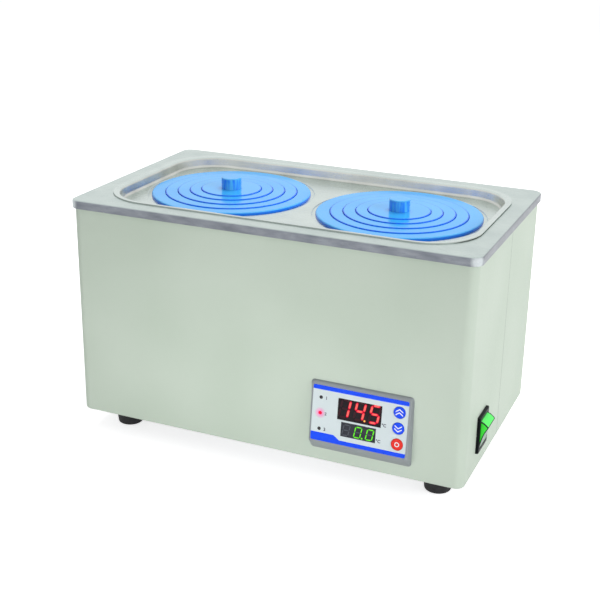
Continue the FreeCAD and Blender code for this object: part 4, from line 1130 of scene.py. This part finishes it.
white = (1, 1, 1, 1)
eye_glow = 0.72
mirrored_glow = 0.35
paper = bpy.data.materials.new("floor_paper")
paper.use_nodes = True
paper.node_tree.nodes.clear()
seen = add_node(paper, "ShaderNodeLightPath", {})
inputs = {0: seen.outputs["Is Glossy Ray"], 1: mirrored_glow}
mirrored = add_node(paper, "ShaderNodeMath", inputs, operation="MULTIPLY")
inputs = {0: seen.outputs["Is Camera Ray"], 1: eye_glow, 2: mirrored.outputs[0]}
strength = add_node(paper, "ShaderNodeMath", inputs, operation="MULTIPLY_ADD")
glow = add_node(paper, "ShaderNodeEmission", {"Color": white, "Strength": strength.outputs[0]})
matt = add_node(paper, "ShaderNodeBsdfDiffuse", {"Color": (0.8, 0.8, 0.8, 1)})
both = add_node(paper, "ShaderNodeAddShader", {0: matt.outputs[0], 1: glow.outputs[0]})
add_node(paper, "ShaderNodeOutputMaterial", {"Surface": both.outputs[0]})

floor_reach = 12.0
bm = bmesh.new()
bm.faces.new(add_loop(bm, [(-floor_reach, -floor_reach, 0), (floor_reach, -floor_reach, 0),
                           (floor_reach, floor_reach, 0), (-floor_reach, floor_reach, 0)]))
floor_mesh = bpy.data.meshes.new("floor")
bm.to_mesh(floor_mesh)
bm.free()
floor_mesh.materials.append(paper)
floor = new_object("floor", floor_mesh)

surround = bpy.data.worlds.new("surround")
bpy.context.scene.world = surround
surround.use_nodes = True
surround.node_tree.nodes.clear()
surround_light = 0.36
surround_seen = 1.0
seen = add_node(surround, "ShaderNodeLightPath", {})
inputs = {0: seen.outputs["Is Camera Ray"], 1: seen.outputs["Is Glossy Ray"]}
either = add_node(surround, "ShaderNodeMath", inputs, operation="MAXIMUM")
level = spread(surround, either.outputs[0], 0, 1, surround_light, surround_seen)
sky = add_node(surround, "ShaderNodeBackground", {"Color": white, "Strength": level})
add_node(surround, "ShaderNodeOutputWorld", {"Surface": sky.outputs[0]})


def add_lamp(name, place, target, size, power):
    light = bpy.data.lights.new(name, "AREA")
    light.shape = "RECTANGLE"
    light.size, light.size_y = size
    light.energy = power
    lamp = new_object(name, light)
    lamp.location = place
    lamp.rotation_euler = (Vector(target) - Vector(place)).to_track_quat("-Z", "Y").to_euler()
    lamp.visible_camera = False
    lamp.visible_glossy = False


add_lamp("key_lamp", (1.75, -0.35, 0.8), (0, 0, 0.1), (1.2, 1.0), 16)
add_lamp("low_lamp", (0.0, -0.4, 0.02), (0, -0.1, 0.05), (0.4, 0.04), 0.5)
add_lamp("top_lamp", (0, 0.6, 1.3), (0, 0, 0.1), (1.2, 1.0), 11.5)

# The camera stands in front and to the right, a little above the bath.
view_azimuth = math.radians(23.1196)
view_elevation = math.radians(20.7666)
view_roll = math.radians(0.9022)
view_distance = 1.01489
view_target = Vector((-0.01182, -0.00063, 0.11537))
view_lens = 69.4248
back = Vector((math.sin(view_azimuth) * math.cos(view_elevation),
               -math.cos(view_azimuth) * math.cos(view_elevation), math.sin(view_elevation)))
camera_data = bpy.data.cameras.new("camera")
camera_data.lens = view_lens
camera_data.sensor_width = 36
camera = new_object("camera", camera_data)
camera.location = view_target + back * view_distance
towards = (-back).to_track_quat("-Z", "Y")
camera.rotation_euler = (towards @ Matrix.Rotation(view_roll, 3, "Z").to_quaternion()).to_euler()
bpy.context.scene.camera = camera
bpy.context.scene.view_settings.view_transform = "Standard"
